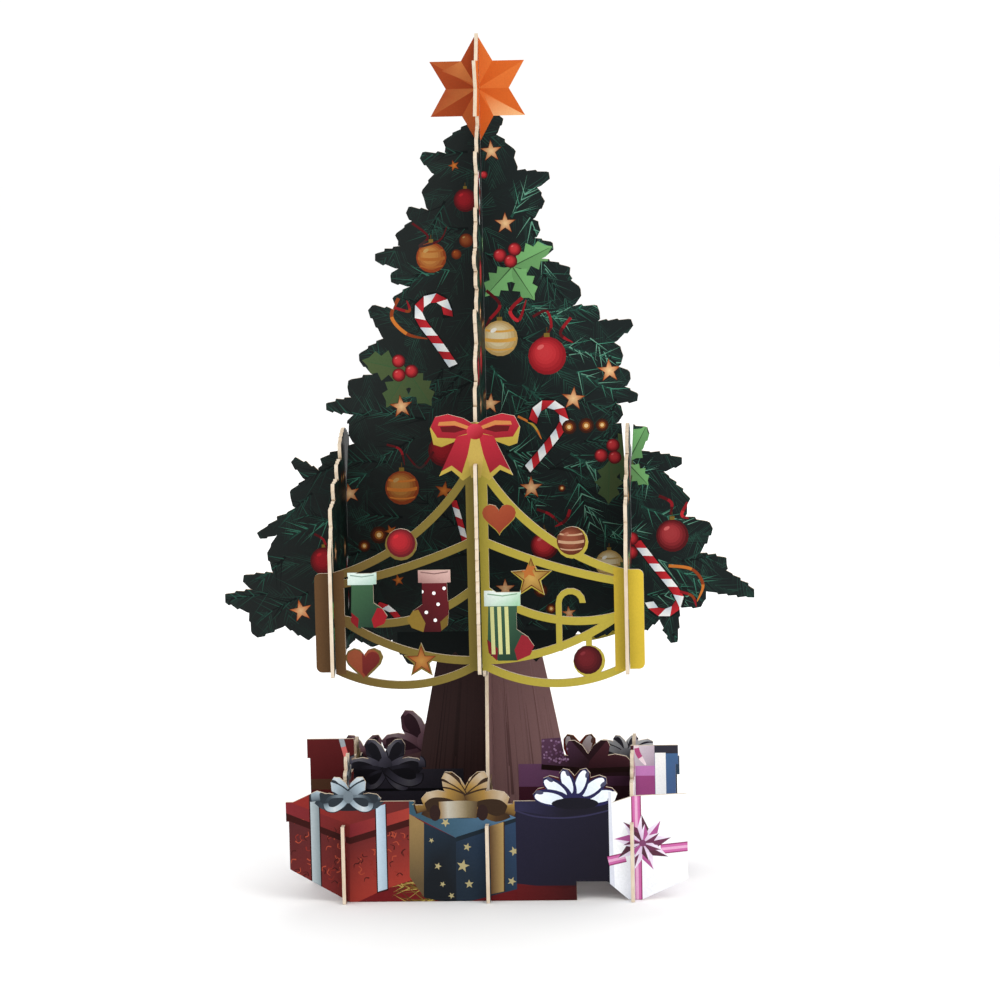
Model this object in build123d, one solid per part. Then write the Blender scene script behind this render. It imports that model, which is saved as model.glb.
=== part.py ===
"""Standing pop-up tree card: ten die-cut printed sheets locked together by half-lap slots.

The origin is on the floor at the tree's axis, +Z is up and the front of the card looks along -Y.
Sheets are drawn flat, as (across, height) points, cut with their slots and given the card's thickness.
"""
from build123d import *
import os
from math import atan2, cos, hypot, pi, sin

# Card and slots, in millimetres
card_thickness = 0.9
slot_clearance = 0.1          # free play on each side of a sheet in its slot
mouth_width = 3.2             # flared mouth of the slots that the tree vanes drop into
mouth_depth = 16.0
prong_width = 3.4             # card left standing outside an end slot

# Tree
tree_half_width = 68.8        # axis to the widest bough tips
crown_height = 197.0          # floor to the top of the greenery
skirt_height = 57.0           # floor to the bough tips beside the trunk
bough_tip_width = 1.7
needle_pitch = 2.7
needle_depth = 0.9
trunk_top_width = 26.0
trunk_foot_width = 48.0
star_radius = 14.0
star_rise = 9.0               # crown to the star's centre

# Lattice: where the sheets cross
vane_offset = 36.8            # axis to each side vane
garland_offset = 37.0         # main panel to each garland
gift_offset = 24.0            # main panel to each row of gifts
axis_lap_height = 110.0       # where the main and cross panels' slots meet

# Tree vanes
vane_top = 119.5
vane_foot = 60.5

# Garland
bow_height = 121.5            # floor to the knot
bow_half_width = 11.2
bow_loop_height = 4.4
bow_tail_length = 12.0
tab_top = 86.5
tab_foot = 61.5
tab_width = 4.3               # garland left outside each side vane
tab_corner = 1.5
band_width = 2.0
spine_width = 5.4             # upright band at the centre slot
ball_radius = 4.0             # hanging balls; hearts and stars follow it
stocking_length = 15.5
cane_width = 1.5
cane_hook = 6.0
upper_swag_sag = 5.3          # how far each swagged band hangs below a straight one
second_swag_sag = 1.2
third_swag_sag = 4.6
fourth_swag_sag = 3.3
bottom_swag_sag = 4.4

# Gifts
gift_height = 26.0            # usual gift; the others are shares of it
gift_bow_width = 22.0
gift_bow_rise = 9.0
gift_overhang = 14.0          # gift row left outside each gift vane
gift_toe_rise = 9.0           # how far a row's left end is cut up from the floor
gift_heel_rise = 5.6          # and its right end
gift_gap_rise = 4.8           # and the gap inside the right gift vane
gift_prong_height = 20.0
gift_lap_height = 12.0
lid_height = 5.0
lid_overhang = 0.7
gift_vane_height = 30.0
foot_gift_height = 24.0       # gifts on the cross panel's foot
small_bow_width = 13.0        # bows on the cross panel's foot and the gift vanes
small_bow_rise = 6.5

slot_width = card_thickness + 2 * slot_clearance
star_height = crown_height + star_rise
card_top = star_height + star_radius

# Boughs are drawn at this size, each as (tip, notch below it), and stretched to the tree's own size.
drawn_half_width = 68.8
drawn_crown = 197.0
drawn_skirt = 57.0
left_boughs = [
    ((8.8, 192.0), (8.2, 189.6)),
    ((14.8, 189.3), (11.6, 184.4)),
    ((14.6, 179.0), (13.2, 175.2)),
    ((18.7, 175.4), (17.6, 172.6)),
    ((21.6, 168.2), (20.8, 166.2)),
    ((27.3, 163.4), (21.4, 160.4)),
    ((23.4, 157.8), (18.4, 155.8)),
    ((22.8, 152.0), (22.6, 149.8)),
    ((28.9, 150.5), (25.7, 142.5)),
    ((32.1, 137.7), (28.6, 133.2)),
    ((35.2, 130.9), (34.4, 127.4)),
    ((41.0, 125.1), (34.0, 122.9)),
    ((36.0, 119.8), (33.9, 115.4)),
    ((42.7, 110.8), (43.4, 108.6)),
    ((50.0, 111.5), (47.0, 106.2)),
    ((51.0, 102.3), (49.8, 98.9)),
    ((59.6, 91.7), (54.7, 91.9)),
    ((57.0, 88.0), (56.0, 82.0)),
    ((63.9, 80.6), (61.4, 77.6)),
    ((69.2, 75.6), (62.6, 71.5)),
    ((61.3, 65.5), (53.3, 68.0)),
    ((46.5, 64.6), (44.0, 66.6)),
    ((38.8, 61.0), (35.0, 64.5)),
    ((29.6, 62.4), (25.4, 64.0)),
    ((20.6, 57.4), (13.4, 60.0)),
]
right_boughs = [
    ((6.0, 198.6), (4.6, 194.2)),
    ((9.3, 189.0), (9.8, 185.0)),
    ((18.0, 183.5), (14.8, 180.5)),
    ((16.3, 177.7), (13.6, 172.4)),
    ((15.2, 170.4), (13.8, 167.6)),
    ((18.6, 165.4), (15.5, 162.3)),
    ((22.8, 159.0), (23.0, 156.6)),
    ((25.5, 153.4), (23.2, 149.9)),
    ((29.9, 149.2), (29.8, 146.0)),
    ((38.5, 145.5), (33.8, 140.4)),
    ((35.8, 137.8), (34.8, 134.2)),
    ((37.8, 131.8), (36.2, 129.0)),
    ((39.6, 126.1), (33.8, 124.8)),
    ((35.6, 122.6), (33.7, 119.5)),
    ((42.2, 117.6), (40.3, 112.4)),
    ((50.7, 109.6), (45.9, 106.9)),
    ((52.3, 99.0), (51.3, 95.1)),
    ((58.0, 92.7), (55.0, 85.6)),
    ((61.8, 83.4), (61.6, 81.0)),
    ((69.2, 74.6), (56.4, 75.6)),
    ((55.4, 72.3), (49.4, 71.6)),
    ((47.9, 62.3), (44.2, 68.4)),
    ((37.6, 64.6), (34.0, 66.6)),
    ((27.0, 64.2), (23.0, 65.6)),
    ((18.0, 61.8), (13.4, 61.0)),
]
# A side vane's boughs: out as shares of the garland's offset, down as shares of the vane's height.
vane_boughs = [
    ((0.28, 0.07), (0.24, 0.12)),
    ((0.52, 0.145), (0.47, 0.2)),
    ((0.78, 0.21), (0.73, 0.27)),
    ((0.98, 0.305), (0.95, 0.365)),
]
vane_shoulder = 0.475         # where the vane reaches its full width, down from the top
# The boughs along its foot: out, and up from the foot.
vane_skirt_boughs = [(0.86, 0.08), (0.68, 0.01), (0.54, 0.09), (0.33, 0.024), (0.18, 0.085)]


def needle_edge(start, end):
    """Points from start towards end, with needle teeth that stand to the left and lean forwards."""
    length = hypot(end[0] - start[0], end[1] - start[1])
    along = ((end[0] - start[0]) / length, (end[1] - start[1]) / length)
    count = max(1, round(length / needle_pitch))
    points = [start]
    for tooth in range(count):
        root = length * tooth / count
        reach = root + 0.75 * length / count
        room = min(1.0, 2 * reach / length, 2 - 2 * reach / length)
        depth = needle_depth * room * (0.75 + 0.25 * sin(2.4 * tooth + length))
        tip = (start[0] + along[0] * reach - along[1] * depth, start[1] + along[1] * reach + along[0] * depth)
        points.append(tip)
        if tooth < count - 1:
            valley = length * (tooth + 0.9) / count
            points.append((start[0] + along[0] * valley, start[1] + along[1] * valley))
    return points


def bough(above, tip, below):
    """Points of one bough, from the notch above it round its blunt tip towards the notch below."""
    middle = ((above[0] + below[0]) / 2, (above[1] + below[1]) / 2)
    length = hypot(tip[0] - middle[0], tip[1] - middle[1])
    root_width = hypot(above[0] - below[0], above[1] - below[1])
    half_tip = min(bough_tip_width, 0.4 * root_width) / 2
    side = (-(tip[1] - middle[1]) / length * half_tip, (tip[0] - middle[0]) / length * half_tip)
    upper = (tip[0] + side[0], tip[1] + side[1])
    lower = (tip[0] - side[0], tip[1] - side[1])
    return needle_edge(above, upper) + [upper] + needle_edge(lower, below)


def polygon(points):
    return make_face(Polyline(*points, close=True))


def mirrored(points):
    return [(-x, z) for x, z in reversed(points)]


def on_tree(point):
    """A drawn bough point at the tree's own width and height."""
    rise = (crown_height - skirt_height) / (drawn_crown - drawn_skirt)
    return (point[0] * tree_half_width / drawn_half_width, skirt_height + (point[1] - drawn_skirt) * rise)


def block(left, right, foot, top):
    return Pos((left + right) / 2, (foot + top) / 2) * Rectangle(right - left, top - foot)


def slot(across, foot, top):
    return block(across - slot_width / 2, across + slot_width / 2, foot, top)


def slot_mouth(across, top):
    """The flare that guides a sheet into a slot from above."""
    wide, narrow = mouth_width / 2, slot_width / 2
    foot = top - mouth_depth
    left = [(across - wide, top), (across - narrow, foot)]
    return polygon(left + [(across + narrow, foot), (across + wide, top)])


def one_piece(sheet):
    """The sheet itself, without the needle scraps that its slots cut loose."""
    return sheet.faces().sort_by(SortBy.AREA)[-1]


def without_pinholes(sheet):
    return make_face(one_piece(sheet).outer_wire())


def star(centre, outer, inner, points):
    corners = []
    for corner in range(2 * points):
        radius = inner if corner % 2 else outer
        angle = pi / 2 + pi * corner / points
        corners.append((centre[0] + radius * cos(angle), centre[1] + radius * sin(angle)))
    return polygon(corners)


def greenery():
    """The tree's core, from notch to notch, with a bough on each stretch of its edge."""
    crown = (2.5, drawn_crown)
    cores = []
    shapes = []
    for boughs, side in ((right_boughs, 1), (left_boughs, -1)):
        notches = [on_tree(crown)] + [on_tree(notch) for tip, notch in boughs]
        cores.append(notches)
        for above, below, (tip, notch) in zip(notches, notches[1:], boughs):
            outline = bough(above, on_tree(tip), below) + [below]
            shapes.append(polygon([(side * x, z) for x, z in outline]))
    return polygon(cores[0] + mirrored(cores[1])) + shapes


def tree_and_star():
    """Whole tree in one sheet: star, greenery and trunk, with no pinholes between its needles."""
    top_star = star((0, star_height), star_radius, star_radius / 3**0.5, 6)
    sheet = greenery() + top_star + trunk()
    sheet &= block(-tree_half_width, tree_half_width, 0, card_top)
    return without_pinholes(sheet)


def trunk():
    top = skirt_height * 1.09
    root = (trunk_foot_width / 2, 0)
    waist = (trunk_top_width * 0.7, skirt_height * 0.64)
    neck = (trunk_top_width / 2, top)
    right = ThreePointArc(root, waist, neck)
    left = ThreePointArc((-neck[0], neck[1]), (-waist[0], waist[1]), (-root[0], root[1]))
    return make_face([right, Line(right @ 1, left @ 0), left, Line(left @ 1, right @ 0)])


def oval(across, height, half_width, half_height, lean=0.0, sides=16):
    """A faceted oval, turned by an angle in radians."""
    corners = []
    for corner in range(sides):
        x = half_width * cos(2 * pi * corner / sides)
        z = half_height * sin(2 * pi * corner / sides)
        corners.append((across + x * cos(lean) - z * sin(lean), height + x * sin(lean) + z * cos(lean)))
    return polygon(corners)


def gift_bow(middle, base, width, rise, petals=4):
    """A fan of looped petals round a knot, seen flat on."""
    shapes = [oval(middle, base + rise * 0.2, width * 0.12, rise * 0.3, sides=8)]
    for petal in range(petals):
        angle = pi * (0.07 + 0.86 * petal / (petals - 1))
        tip = (width / 2 * cos(angle), rise * sin(angle))
        length = hypot(*tip)
        lean = atan2(tip[1], tip[0])
        centre = (middle + tip[0] * 0.52, base + tip[1] * 0.52)
        shapes.append(oval(*centre, length * 0.48, length * 0.26, lean, 10))
    return shapes


def gift_box(left, right, height):
    """A lidded box seen flat on, standing on the floor."""
    return [
        block(left, right, 0, height),
        block(left - lid_overhang, right + lid_overhang, height - lid_height, height),
    ]


def main_tree_panel(tree):
    outer = vane_offset + gift_overhang * 0.78
    inner = trunk_top_width * 0.3
    low = gift_height * 1.12
    shapes = gift_box(-outer, -vane_offset, gift_height * 1.46) + gift_box(-vane_offset, -inner, low)
    shapes += gift_box(inner, vane_offset + gift_overhang * 0.29, gift_height * 1.15)
    shapes += gift_box(vane_offset, outer, gift_height * 1.36)
    shapes += gift_bow(-vane_offset * 0.76, low, gift_bow_width * 0.91, gift_bow_rise * 1.06)
    shapes += gift_bow(vane_offset * 0.68, low, gift_bow_width * 1.05, gift_bow_rise * 0.95)
    sheet = without_pinholes(tree + shapes) - slot(0, axis_lap_height, card_top)
    for side in (-1, 1):
        sheet -= slot(side * vane_offset, (vane_top + vane_foot) / 2, vane_top + slot_width)
        sheet -= slot_mouth(side * vane_offset, vane_top + slot_width)
        sheet -= slot(side * vane_offset, 0, gift_lap_height)
    return one_piece(sheet)


def cross_tree_panel(tree):
    reach = garland_offset + prong_width
    step = bow_height - bow_tail_length * 2 / 3
    near_edge = needle_edge((reach, step), (reach, skirt_height))
    shoulder = garland_offset - slot_width
    right = [(shoulder, card_top), (shoulder, step)] + near_edge + [(reach, 0)]
    sheet = tree & polygon(right + mirrored(right))
    back = gift_offset - slot_width
    foot = block(-gift_offset - prong_width, gift_offset + prong_width, 0, gift_prong_height)
    sheet += [foot] + gift_box(-back, back, foot_gift_height)
    for side in (-1, 1):
        sheet += gift_bow(side * gift_offset * 0.6, foot_gift_height, small_bow_width, small_bow_rise)
        sheet -= slot(side * garland_offset, (bow_height + tab_foot) / 2, card_top)
        sheet -= slot(side * gift_offset, gift_lap_height, card_top / 4)
    return one_piece(sheet - slot(0, 0, axis_lap_height))


def tree_vane():
    """Half-depth slice of the tree beside the trunk, with a bottom slot for the main panel."""
    reach = garland_offset + prong_width
    height = vane_top - vane_foot
    shoulder = (reach, vane_top - vane_shoulder * height)
    above = (slot_width, vane_top)
    right = []
    for tip, notch in vane_boughs:
        below = (notch[0] * garland_offset, vane_top - notch[1] * height)
        right += bough(above, (tip[0] * garland_offset, vane_top - tip[1] * height), below)
        above = below
    right += needle_edge(above, shoulder)
    right += needle_edge(shoulder, (reach + needle_depth / 3, vane_foot))
    outer = (reach - needle_depth / 2, vane_foot)
    for share, rise in vane_skirt_boughs:
        inner = (share * garland_offset, vane_foot + rise * height)
        right += needle_edge(outer, inner)
        outer = inner
    sheet = polygon(right + [outer] + mirrored(right + [outer]))
    sheet &= block(-reach, reach, vane_foot, vane_top)
    for side in (-1, 1):
        sheet -= slot(side * garland_offset, (tab_top + tab_foot) / 2, vane_top)
    return sheet - slot(0, 0, (vane_top + vane_foot) / 2)


def arc_band(start, middle, end, width):
    """A flat band of even width along the arc through three points."""
    arc = ThreePointArc(start, middle, end)

    def beside(point, by):
        spoke = Vector(*point) - arc.arc_center
        return arc.arc_center + spoke.normalized() * (arc.radius + by)

    outer = ThreePointArc(*[beside(point, width / 2) for point in (start, middle, end)])
    inner = ThreePointArc(*[beside(point, -width / 2) for point in (end, middle, start)])
    return make_face([outer, Line(outer @ 1, inner @ 0), inner, Line(inner @ 1, outer @ 0)])


def ball(across, height, radius):
    return oval(across, height, radius, radius)


def heart(across, height, size, sides=20):
    corners = []
    for corner in range(sides):
        turn = 2 * pi * corner / sides
        swell = 0.81 * cos(turn) - 0.31 * cos(2 * turn) - 0.12 * cos(3 * turn) - 0.06 * cos(4 * turn)
        corners.append((across + size * sin(turn) ** 3, height + size * swell))
    return polygon(corners)


def stocking(across, top, length, toe):
    """A hanging stocking with its toe to the side that toe's sign gives, drawn in shares of its length."""
    front = [(0.26, 0), (0.26, -0.2), (0.2, -0.2), (0.2, -0.55), (0.36, -0.66), (0.45, -0.8), (0.38, -0.93)]
    heel = [(0.2, -1.0), (-0.08, -1.0), (-0.2, -0.9), (-0.22, -0.72), (-0.2, -0.2), (-0.26, -0.2), (-0.26, 0)]
    return polygon([(across + toe * x * length, top + z * length) for x, z in front + heel])


def candy_cane(across, foot, top, facets=7):
    """An upright cane whose hook turns to the right."""
    outline = [(across - cane_width / 2, foot)]
    turns = range(facets + 1)
    outer, inner = (cane_hook + cane_width) / 2, (cane_hook - cane_width) / 2
    for radius, round_hook in ((outer, turns), (inner, turns[::-1])):
        for turn in round_hook:
            angle = pi - pi * turn / facets
            outline.append((across + cane_hook / 2 + radius * cos(angle), top + radius * sin(angle)))
    return polygon(outline + [(across + cane_width / 2, foot)])


def ribbon_bow():
    """The bow that carries the garland: two loops, a knot and two tails, in shares of its size."""
    upper = [(0, 0.35), (0.25, 0.75), (0.6, 1.0), (0.88, 0.85), (1.0, 0.2)]
    lower = [(0.93, -0.7), (0.75, -0.85), (0.4, -0.5), (0, -0.35)]
    tail = [(0, 0), (0.4, -0.1), (0.82, -0.92), (0.54, -0.8), (0.3, -1.0)]
    shapes = []
    for side in (-1, 1):
        wide = side * bow_half_width
        shapes.append(polygon([(x * wide, bow_height + z * bow_loop_height) for x, z in upper + lower]))
        shapes.append(polygon([(x * wide, bow_height + z * bow_tail_length) for x, z in tail]))
    return ball(0, bow_height, bow_loop_height * 0.55) + shapes


def swags():
    """The five swagged bands of one half, from the spine to the side vane, top to bottom."""
    inner = spine_width / 2 - band_width / 2
    middle_tab = (tab_top + tab_foot) / 2

    def up_spine(share):
        return tab_foot + share * (bow_height - tab_foot)

    bands = [
        (bow_height - 0.8 * bow_tail_length, 0.40, upper_swag_sag, tab_top - band_width / 2),
        (up_spine(0.54), 0.45, second_swag_sag, tab_top - 1.6 * band_width),
        (up_spine(0.34), 0.50, third_swag_sag, middle_tab + 0.8 * band_width),
        (tab_foot + 1.3 * band_width, 0.50, fourth_swag_sag, middle_tab + 1.3 * band_width),
        (tab_foot + band_width / 2, 0.55, bottom_swag_sag, tab_foot + band_width / 2),
    ]
    arcs = []
    for start, share, sag, end in bands:
        middle = share * vane_offset
        straight = start + (end - start) * (middle - inner) / (vane_offset - inner)
        arcs.append(((inner, start), (middle, straight - sag), (vane_offset, end)))
    return arcs


def height_on(swag, across):
    """Height of a sagging band's middle line at this distance from the axis."""
    arc = ThreePointArc(*swag)
    return arc.arc_center.Y - (arc.radius**2 - (across - arc.arc_center.X) ** 2) ** 0.5


def ornaments():
    """Die-cut shapes that hang on the bands, each set by the band that carries it."""
    upper, second, third, fourth, bottom = swags()
    places = [share * vane_offset for share in (0.16, 0.30, 0.36, 0.40, 0.52, 0.54, 0.64, 0.74, 0.79)]
    boot_right, boot_left, star_right, star_left, ball_left, cane, ball_right, drop, outer = places
    drop_height = height_on(fourth, drop) - 1.7 * ball_radius
    heart_right = spine_width / 2 + 0.7 * ball_radius
    small, large = 1.15 * ball_radius, 1.35 * ball_radius
    return [
        ball(-ball_left, height_on(upper, ball_left), ball_radius),
        stocking(-outer, height_on(second, outer) + 0.1 * stocking_length, 0.87 * stocking_length, 1),
        stocking(-boot_left, height_on(third, boot_left) + 0.68 * stocking_length, stocking_length, -1),
        star((-star_left, height_on(fourth, star_left) - 0.4 * ball_radius), small, 0.45 * small, 5),
        heart(-outer, height_on(bottom, outer) + 1.15 * ball_radius, 1.2 * ball_radius),
        heart(heart_right, height_on(upper, spine_width) - 1.6 * ball_radius, 1.1 * ball_radius),
        ball(ball_right, height_on(upper, ball_right) + 0.65 * ball_radius, ball_radius),
        star((star_right, height_on(second, star_right) - 1.15 * ball_radius), large, 0.45 * large, 5),
        stocking(boot_right, height_on(third, boot_right) + 0.14 * stocking_length, 1.1 * stocking_length, 1),
        candy_cane(cane, height_on(fourth, cane) - band_width / 2, height_on(third, cane) + 0.7 * cane_hook),
        ball(drop, drop_height, ball_radius),
        block(drop - cane_width / 2, drop + cane_width / 2, drop_height, height_on(fourth, drop)),
    ]


def garland():
    """Filigree hung from the bow: a spine, swagged bands, ornaments and an end tab past each side vane."""
    outer = vane_offset + tab_width
    tab = block(vane_offset - slot_width - band_width, outer, tab_foot, tab_top)
    tab = fillet(tab.vertices().group_by(Axis.X)[-1], tab_corner)
    half = [arc_band(*swag, band_width) for swag in swags()] + [tab]
    spine = block(-spine_width / 2, spine_width / 2, tab_foot, bow_height)
    sheet = ribbon_bow() + [spine] + half + [mirror(shape, Plane.YZ) for shape in half] + ornaments()
    sheet -= slot(0, 0, (bow_height + tab_foot) / 2)
    for side in (-1, 1):
        sheet -= slot(side * vane_offset, 0, (tab_top + tab_foot) / 2)
    return sheet


def gift_row(shapes):
    """Gifts in one sheet, cut up from the floor at its ends, with bottom slots for the other sheets."""
    end = vane_offset + gift_overhang + lid_overhang
    heel = vane_offset - slot_width
    sole = 0.61 * vane_offset
    below = -slot_width
    sheet = block(-heel, sole, 0, gift_lap_height) + shapes
    sheet -= polygon([(-end, below), (-heel, below), (-heel, 0), (-end, gift_toe_rise)])
    gap = [(sole, below), (heel, below), (heel, 0), (0.82 * vane_offset, gift_gap_rise)]
    sheet -= polygon(gap + [(sole, gift_gap_rise)])
    sheet -= polygon([(vane_offset + 2 * slot_width, 0), (end, below), (end, gift_heel_rise)])
    for across in (-vane_offset, 0, vane_offset):
        sheet -= slot(across, 0, gift_lap_height)
    return sheet


def boxes_in_row(edges, heights):
    """Gifts side by side: edges as shares of the vanes' offset, heights as shares of the usual gift."""
    sides = [share * vane_offset for share in edges]
    shapes = []
    for left, right, share in zip(sides, sides[1:], heights):
        shapes += gift_box(left, right, share * gift_height)
    return shapes


def wrapped_gift(corners):
    """A gift without a lid, its corners as shares of the vanes' offset and of the usual gift's height."""
    return polygon([(across * vane_offset, height * gift_height) for across, height in corners])


def row_bow(across, base, width, rise, petals=4):
    """A bow on a row of gifts, in shares of the vanes' offset, the usual gift and the usual bow."""
    size = (width * gift_bow_width, rise * gift_bow_rise)
    return gift_bow(across * vane_offset, base * gift_height, *size, petals)


def front_gift_panel():
    end = 1 + gift_overhang / vane_offset
    shapes = boxes_in_row([-end, -0.52, 0.20, 0.84], [1.0, 0.96, 0.99])
    shapes.append(wrapped_gift([(-end, 0.98), (-0.9, 0.98), (-1.18, 1.11)]))
    shapes.append(wrapped_gift([(0.83, 0), (end, 0), (end, 1.05), (1.01, 1.03), (0.83, 0.95)]))
    shapes += row_bow(-0.96, 0.96, 0.77, 0.91) + row_bow(-0.15, 0.94, 1.05, 1.11)
    shapes += row_bow(0.61, 0.98, 1.0, 0.98, 6)
    return gift_row(shapes)


def back_gift_panel():
    end = 1 + 0.78 * gift_overhang / vane_offset
    shapes = boxes_in_row([-end, -0.75, -0.04, 0.52, end], [1.04, 1.19, 1.0, 1.08])
    shapes += row_bow(-0.98, 1.02, 0.85, 1.0) + row_bow(-0.53, 1.17, 1.09, 1.33)
    shapes += row_bow(0.595, 0.98, 0.68, 1.08) + row_bow(0.93, 1.06, 0.91, 0.72, 6)
    return gift_row(shapes)


def gift_vane():
    """Comb with three top slots, for the main panel and the two rows of gifts."""
    reach = gift_offset + prong_width
    back = gift_offset - slot_width
    shapes = gift_box(-back, back, gift_vane_height)
    for side in (-1, 1):
        shapes += gift_bow(side * gift_offset * 0.5, gift_vane_height, small_bow_width, small_bow_rise)
    sheet = block(-reach, reach, 0, gift_prong_height) + shapes
    for across in (-gift_offset, 0, gift_offset):
        sheet -= slot(across, gift_lap_height, card_top)
    return sheet


def across_sheet(sketch, depth):
    """A sheet that faces the front, at this distance behind the main panel."""
    return extrude(Plane.XZ.offset(-depth) * sketch, amount=card_thickness / 2, both=True)


def along_sheet(sketch, across):
    """A sheet that runs front to back, at this distance to the right of the axis."""
    return extrude(Plane.YZ.offset(across) * sketch, amount=card_thickness / 2, both=True)


whole_tree = tree_and_star()
side_slice = tree_vane()
filigree = garland()
comb = gift_vane()
pieces = {
    "main_tree_panel": across_sheet(main_tree_panel(whole_tree), 0),
    "cross_tree_panel": along_sheet(cross_tree_panel(whole_tree), 0),
    "left_tree_vane": along_sheet(side_slice, -vane_offset),
    "right_tree_vane": along_sheet(side_slice, vane_offset),
    "front_garland": across_sheet(filigree, -garland_offset),
    "back_garland": across_sheet(mirror(filigree, Plane.YZ), garland_offset),
    "front_gift_panel": across_sheet(front_gift_panel(), -gift_offset),
    "back_gift_panel": across_sheet(back_gift_panel(), gift_offset),
    "left_gift_vane": along_sheet(comb, -vane_offset),
    "right_gift_vane": along_sheet(comb, vane_offset),
}

os.makedirs("parts", exist_ok=True)
for name, piece in pieces.items():
    export_step(piece, f"parts/{name}.step")
    print(name, len(piece.solids()), "solid,", round(piece.volume, 1), "mm3")
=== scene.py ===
"""Looks of the standing pop-up tree card: ten printed card sheets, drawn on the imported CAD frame.

A sheet's print is drawn in millimetres, across and up, as someone facing that side of it sees it.
Its outline comes from its CAD node, so the print is cut where the die cuts the card.
The scene itself is in metres.
"""

import random
from math import atan2, cos, hypot, pi, radians, sin, tau

import bpy
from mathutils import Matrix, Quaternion, Vector
from mathutils.geometry import delaunay_2d_cdt


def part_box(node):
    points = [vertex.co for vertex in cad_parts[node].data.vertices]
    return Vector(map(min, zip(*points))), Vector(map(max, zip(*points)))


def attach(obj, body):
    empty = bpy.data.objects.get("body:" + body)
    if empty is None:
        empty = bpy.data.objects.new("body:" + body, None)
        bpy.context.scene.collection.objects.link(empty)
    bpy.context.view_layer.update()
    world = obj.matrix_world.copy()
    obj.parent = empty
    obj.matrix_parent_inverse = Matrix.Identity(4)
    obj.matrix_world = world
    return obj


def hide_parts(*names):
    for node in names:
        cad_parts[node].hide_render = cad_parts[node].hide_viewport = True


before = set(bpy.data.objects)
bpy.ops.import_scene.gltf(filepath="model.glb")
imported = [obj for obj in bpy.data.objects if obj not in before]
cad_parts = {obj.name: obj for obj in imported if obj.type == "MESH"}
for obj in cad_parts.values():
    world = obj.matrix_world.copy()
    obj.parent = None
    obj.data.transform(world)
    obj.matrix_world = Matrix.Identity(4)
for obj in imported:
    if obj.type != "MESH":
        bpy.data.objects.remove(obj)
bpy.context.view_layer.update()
scene = bpy.context.scene

mm = 0.001
up = Vector((0, 0, 1))

# Print sizes, in millimetres
needle_length = 8.6
needle_width = 0.27
needle_gap = 1.2
twig_length = 13.0
twig_spacing = 12.4
cane_stripe = 2.6
skirt_height = 57.0
crown_height = 197.0
star_height = 206.0
star_radius = 14.0
trunk_top = 62.0
ornament_reach = 5.0
sprigs_a_plot = 46
hair = 0.00035
least_area = 0.0005

# The card finish's twigs: layers of cells, each with its shift, in millimetres; headings in radians
twig_layers = ((9.0, 310.0), (12.0, 520.0))
twig_bend = 7.0
bend_scale = 0.05
twig_lowest = -1.7
twig_swing = 2.6
least_lean = 1.6
lean_swing = 2.0


def ink(colour):
    """Linear light of a colour written as RRGGBB; any other ink stays as it is."""
    if not isinstance(colour, str):
        return colour
    channels = [int(colour[place:place + 2], 16) / 255 for place in (0, 2, 4)]
    return tuple(c / 12.92 if c < 0.04045 else ((c + 0.055) / 1.055) ** 2.4 for c in channels)


def mixed(first, last, share):
    return tuple(a + (b - a) * share for a, b in zip(ink(first), ink(last)))


night = ink("0f1515")
pine = ink("1c2b28")
fir = ink("22473c")
jade = ink("3d7c66")
frost = ink("74a78f")
leaf_green = ink("74ad6c")
leaf_dark = ink("3c5a38")
olive_leaf = ink("4a5937")
scarlet = ink("c02830")
crimson = ink("8e1a22")
maroon = ink("541519")
rose = ink("dc6f6c")
amber = ink("c8742f")
orange = ink("cd6427")
rust = ink("8a3c1c")
ember = ink("5c2614")
peach = ink("e2b584")
cream = ink("dccb9e")
straw = ink("b9985c")
gold = ink("b39a3c")
old_gold = ink("7c6428")
bronze = ink("523a1a")
white = ink("f6f7f4")
ice = ink("bccad6")
silver = ink("a3adb4")
steel = ink("5a646c")
black = ink("0e0e12")
navy = ink("2a2a4c")
purple = ink("6a4468")
plum = ink("3a1b2c")
pink = ink("b84f80")
mauve = ink("93706f")
walnut = ink("644746")
bark = ink("3c2928")
# Darkest bark, for the left half of the trunk on the front: painted shade.
bark_in_shade = ink("281a19")
card_white = ink("ece4d6")
star_inks = ("d67434", "c65e22")

# Wrapping papers: the paper, its shade and its ribbon
red_paper = ("8a2e26", "541a18", silver)
blue_paper = ("2c4258", "1a2430", "a88a52")
white_paper = (white, "d8dae4", pink)
purple_paper = (purple, plum, "b48fb4")
green_paper = ("3a5f50", "1e382e", "c0ae80")
grey_paper = ("8a8f98", steel, crimson)
wine_paper = ("5c1c26", "34101a", "8a4a66")
navy_paper = ("2a2842", "1c1a26", ice)


def along(inks, share):
    """Ink at this share of the way through a list of inks."""
    place = min(int(share * (len(inks) - 1)), len(inks) - 2)
    return mixed(inks[place], inks[place + 1], share * (len(inks) - 1) - place)


def fade(first, last, start, end):
    """Ink that turns from first at start to last at end."""
    first, last = ink(first), ink(last)
    run = (end[0] - start[0], end[1] - start[1])
    length = run[0] ** 2 + run[1] ** 2

    def at(across, height):
        share = ((across - start[0]) * run[0] + (height - start[1]) * run[1]) / length
        return mixed(first, last, min(1.0, max(0.0, share)))

    return at


def polar(centre, radius, angle):
    return (centre[0] + radius * cos(angle), centre[1] + radius * sin(angle))


def bearing(start, end):
    """Distance and heading from one point to another."""
    run, rise = end[0] - start[0], end[1] - start[1]
    return hypot(run, rise), atan2(rise, run)


def oval(centre, half_width, half_height, lean=0.0, sides=18):
    points = []
    for corner in range(sides):
        across = half_width * cos(tau * corner / sides)
        rise = half_height * sin(tau * corner / sides)
        points.append((centre[0] + across * cos(lean) - rise * sin(lean),
                       centre[1] + across * sin(lean) + rise * cos(lean)))
    return points


def box(left, right, foot, top):
    return [(left, foot), (right, foot), (right, top), (left, top)]


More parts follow.
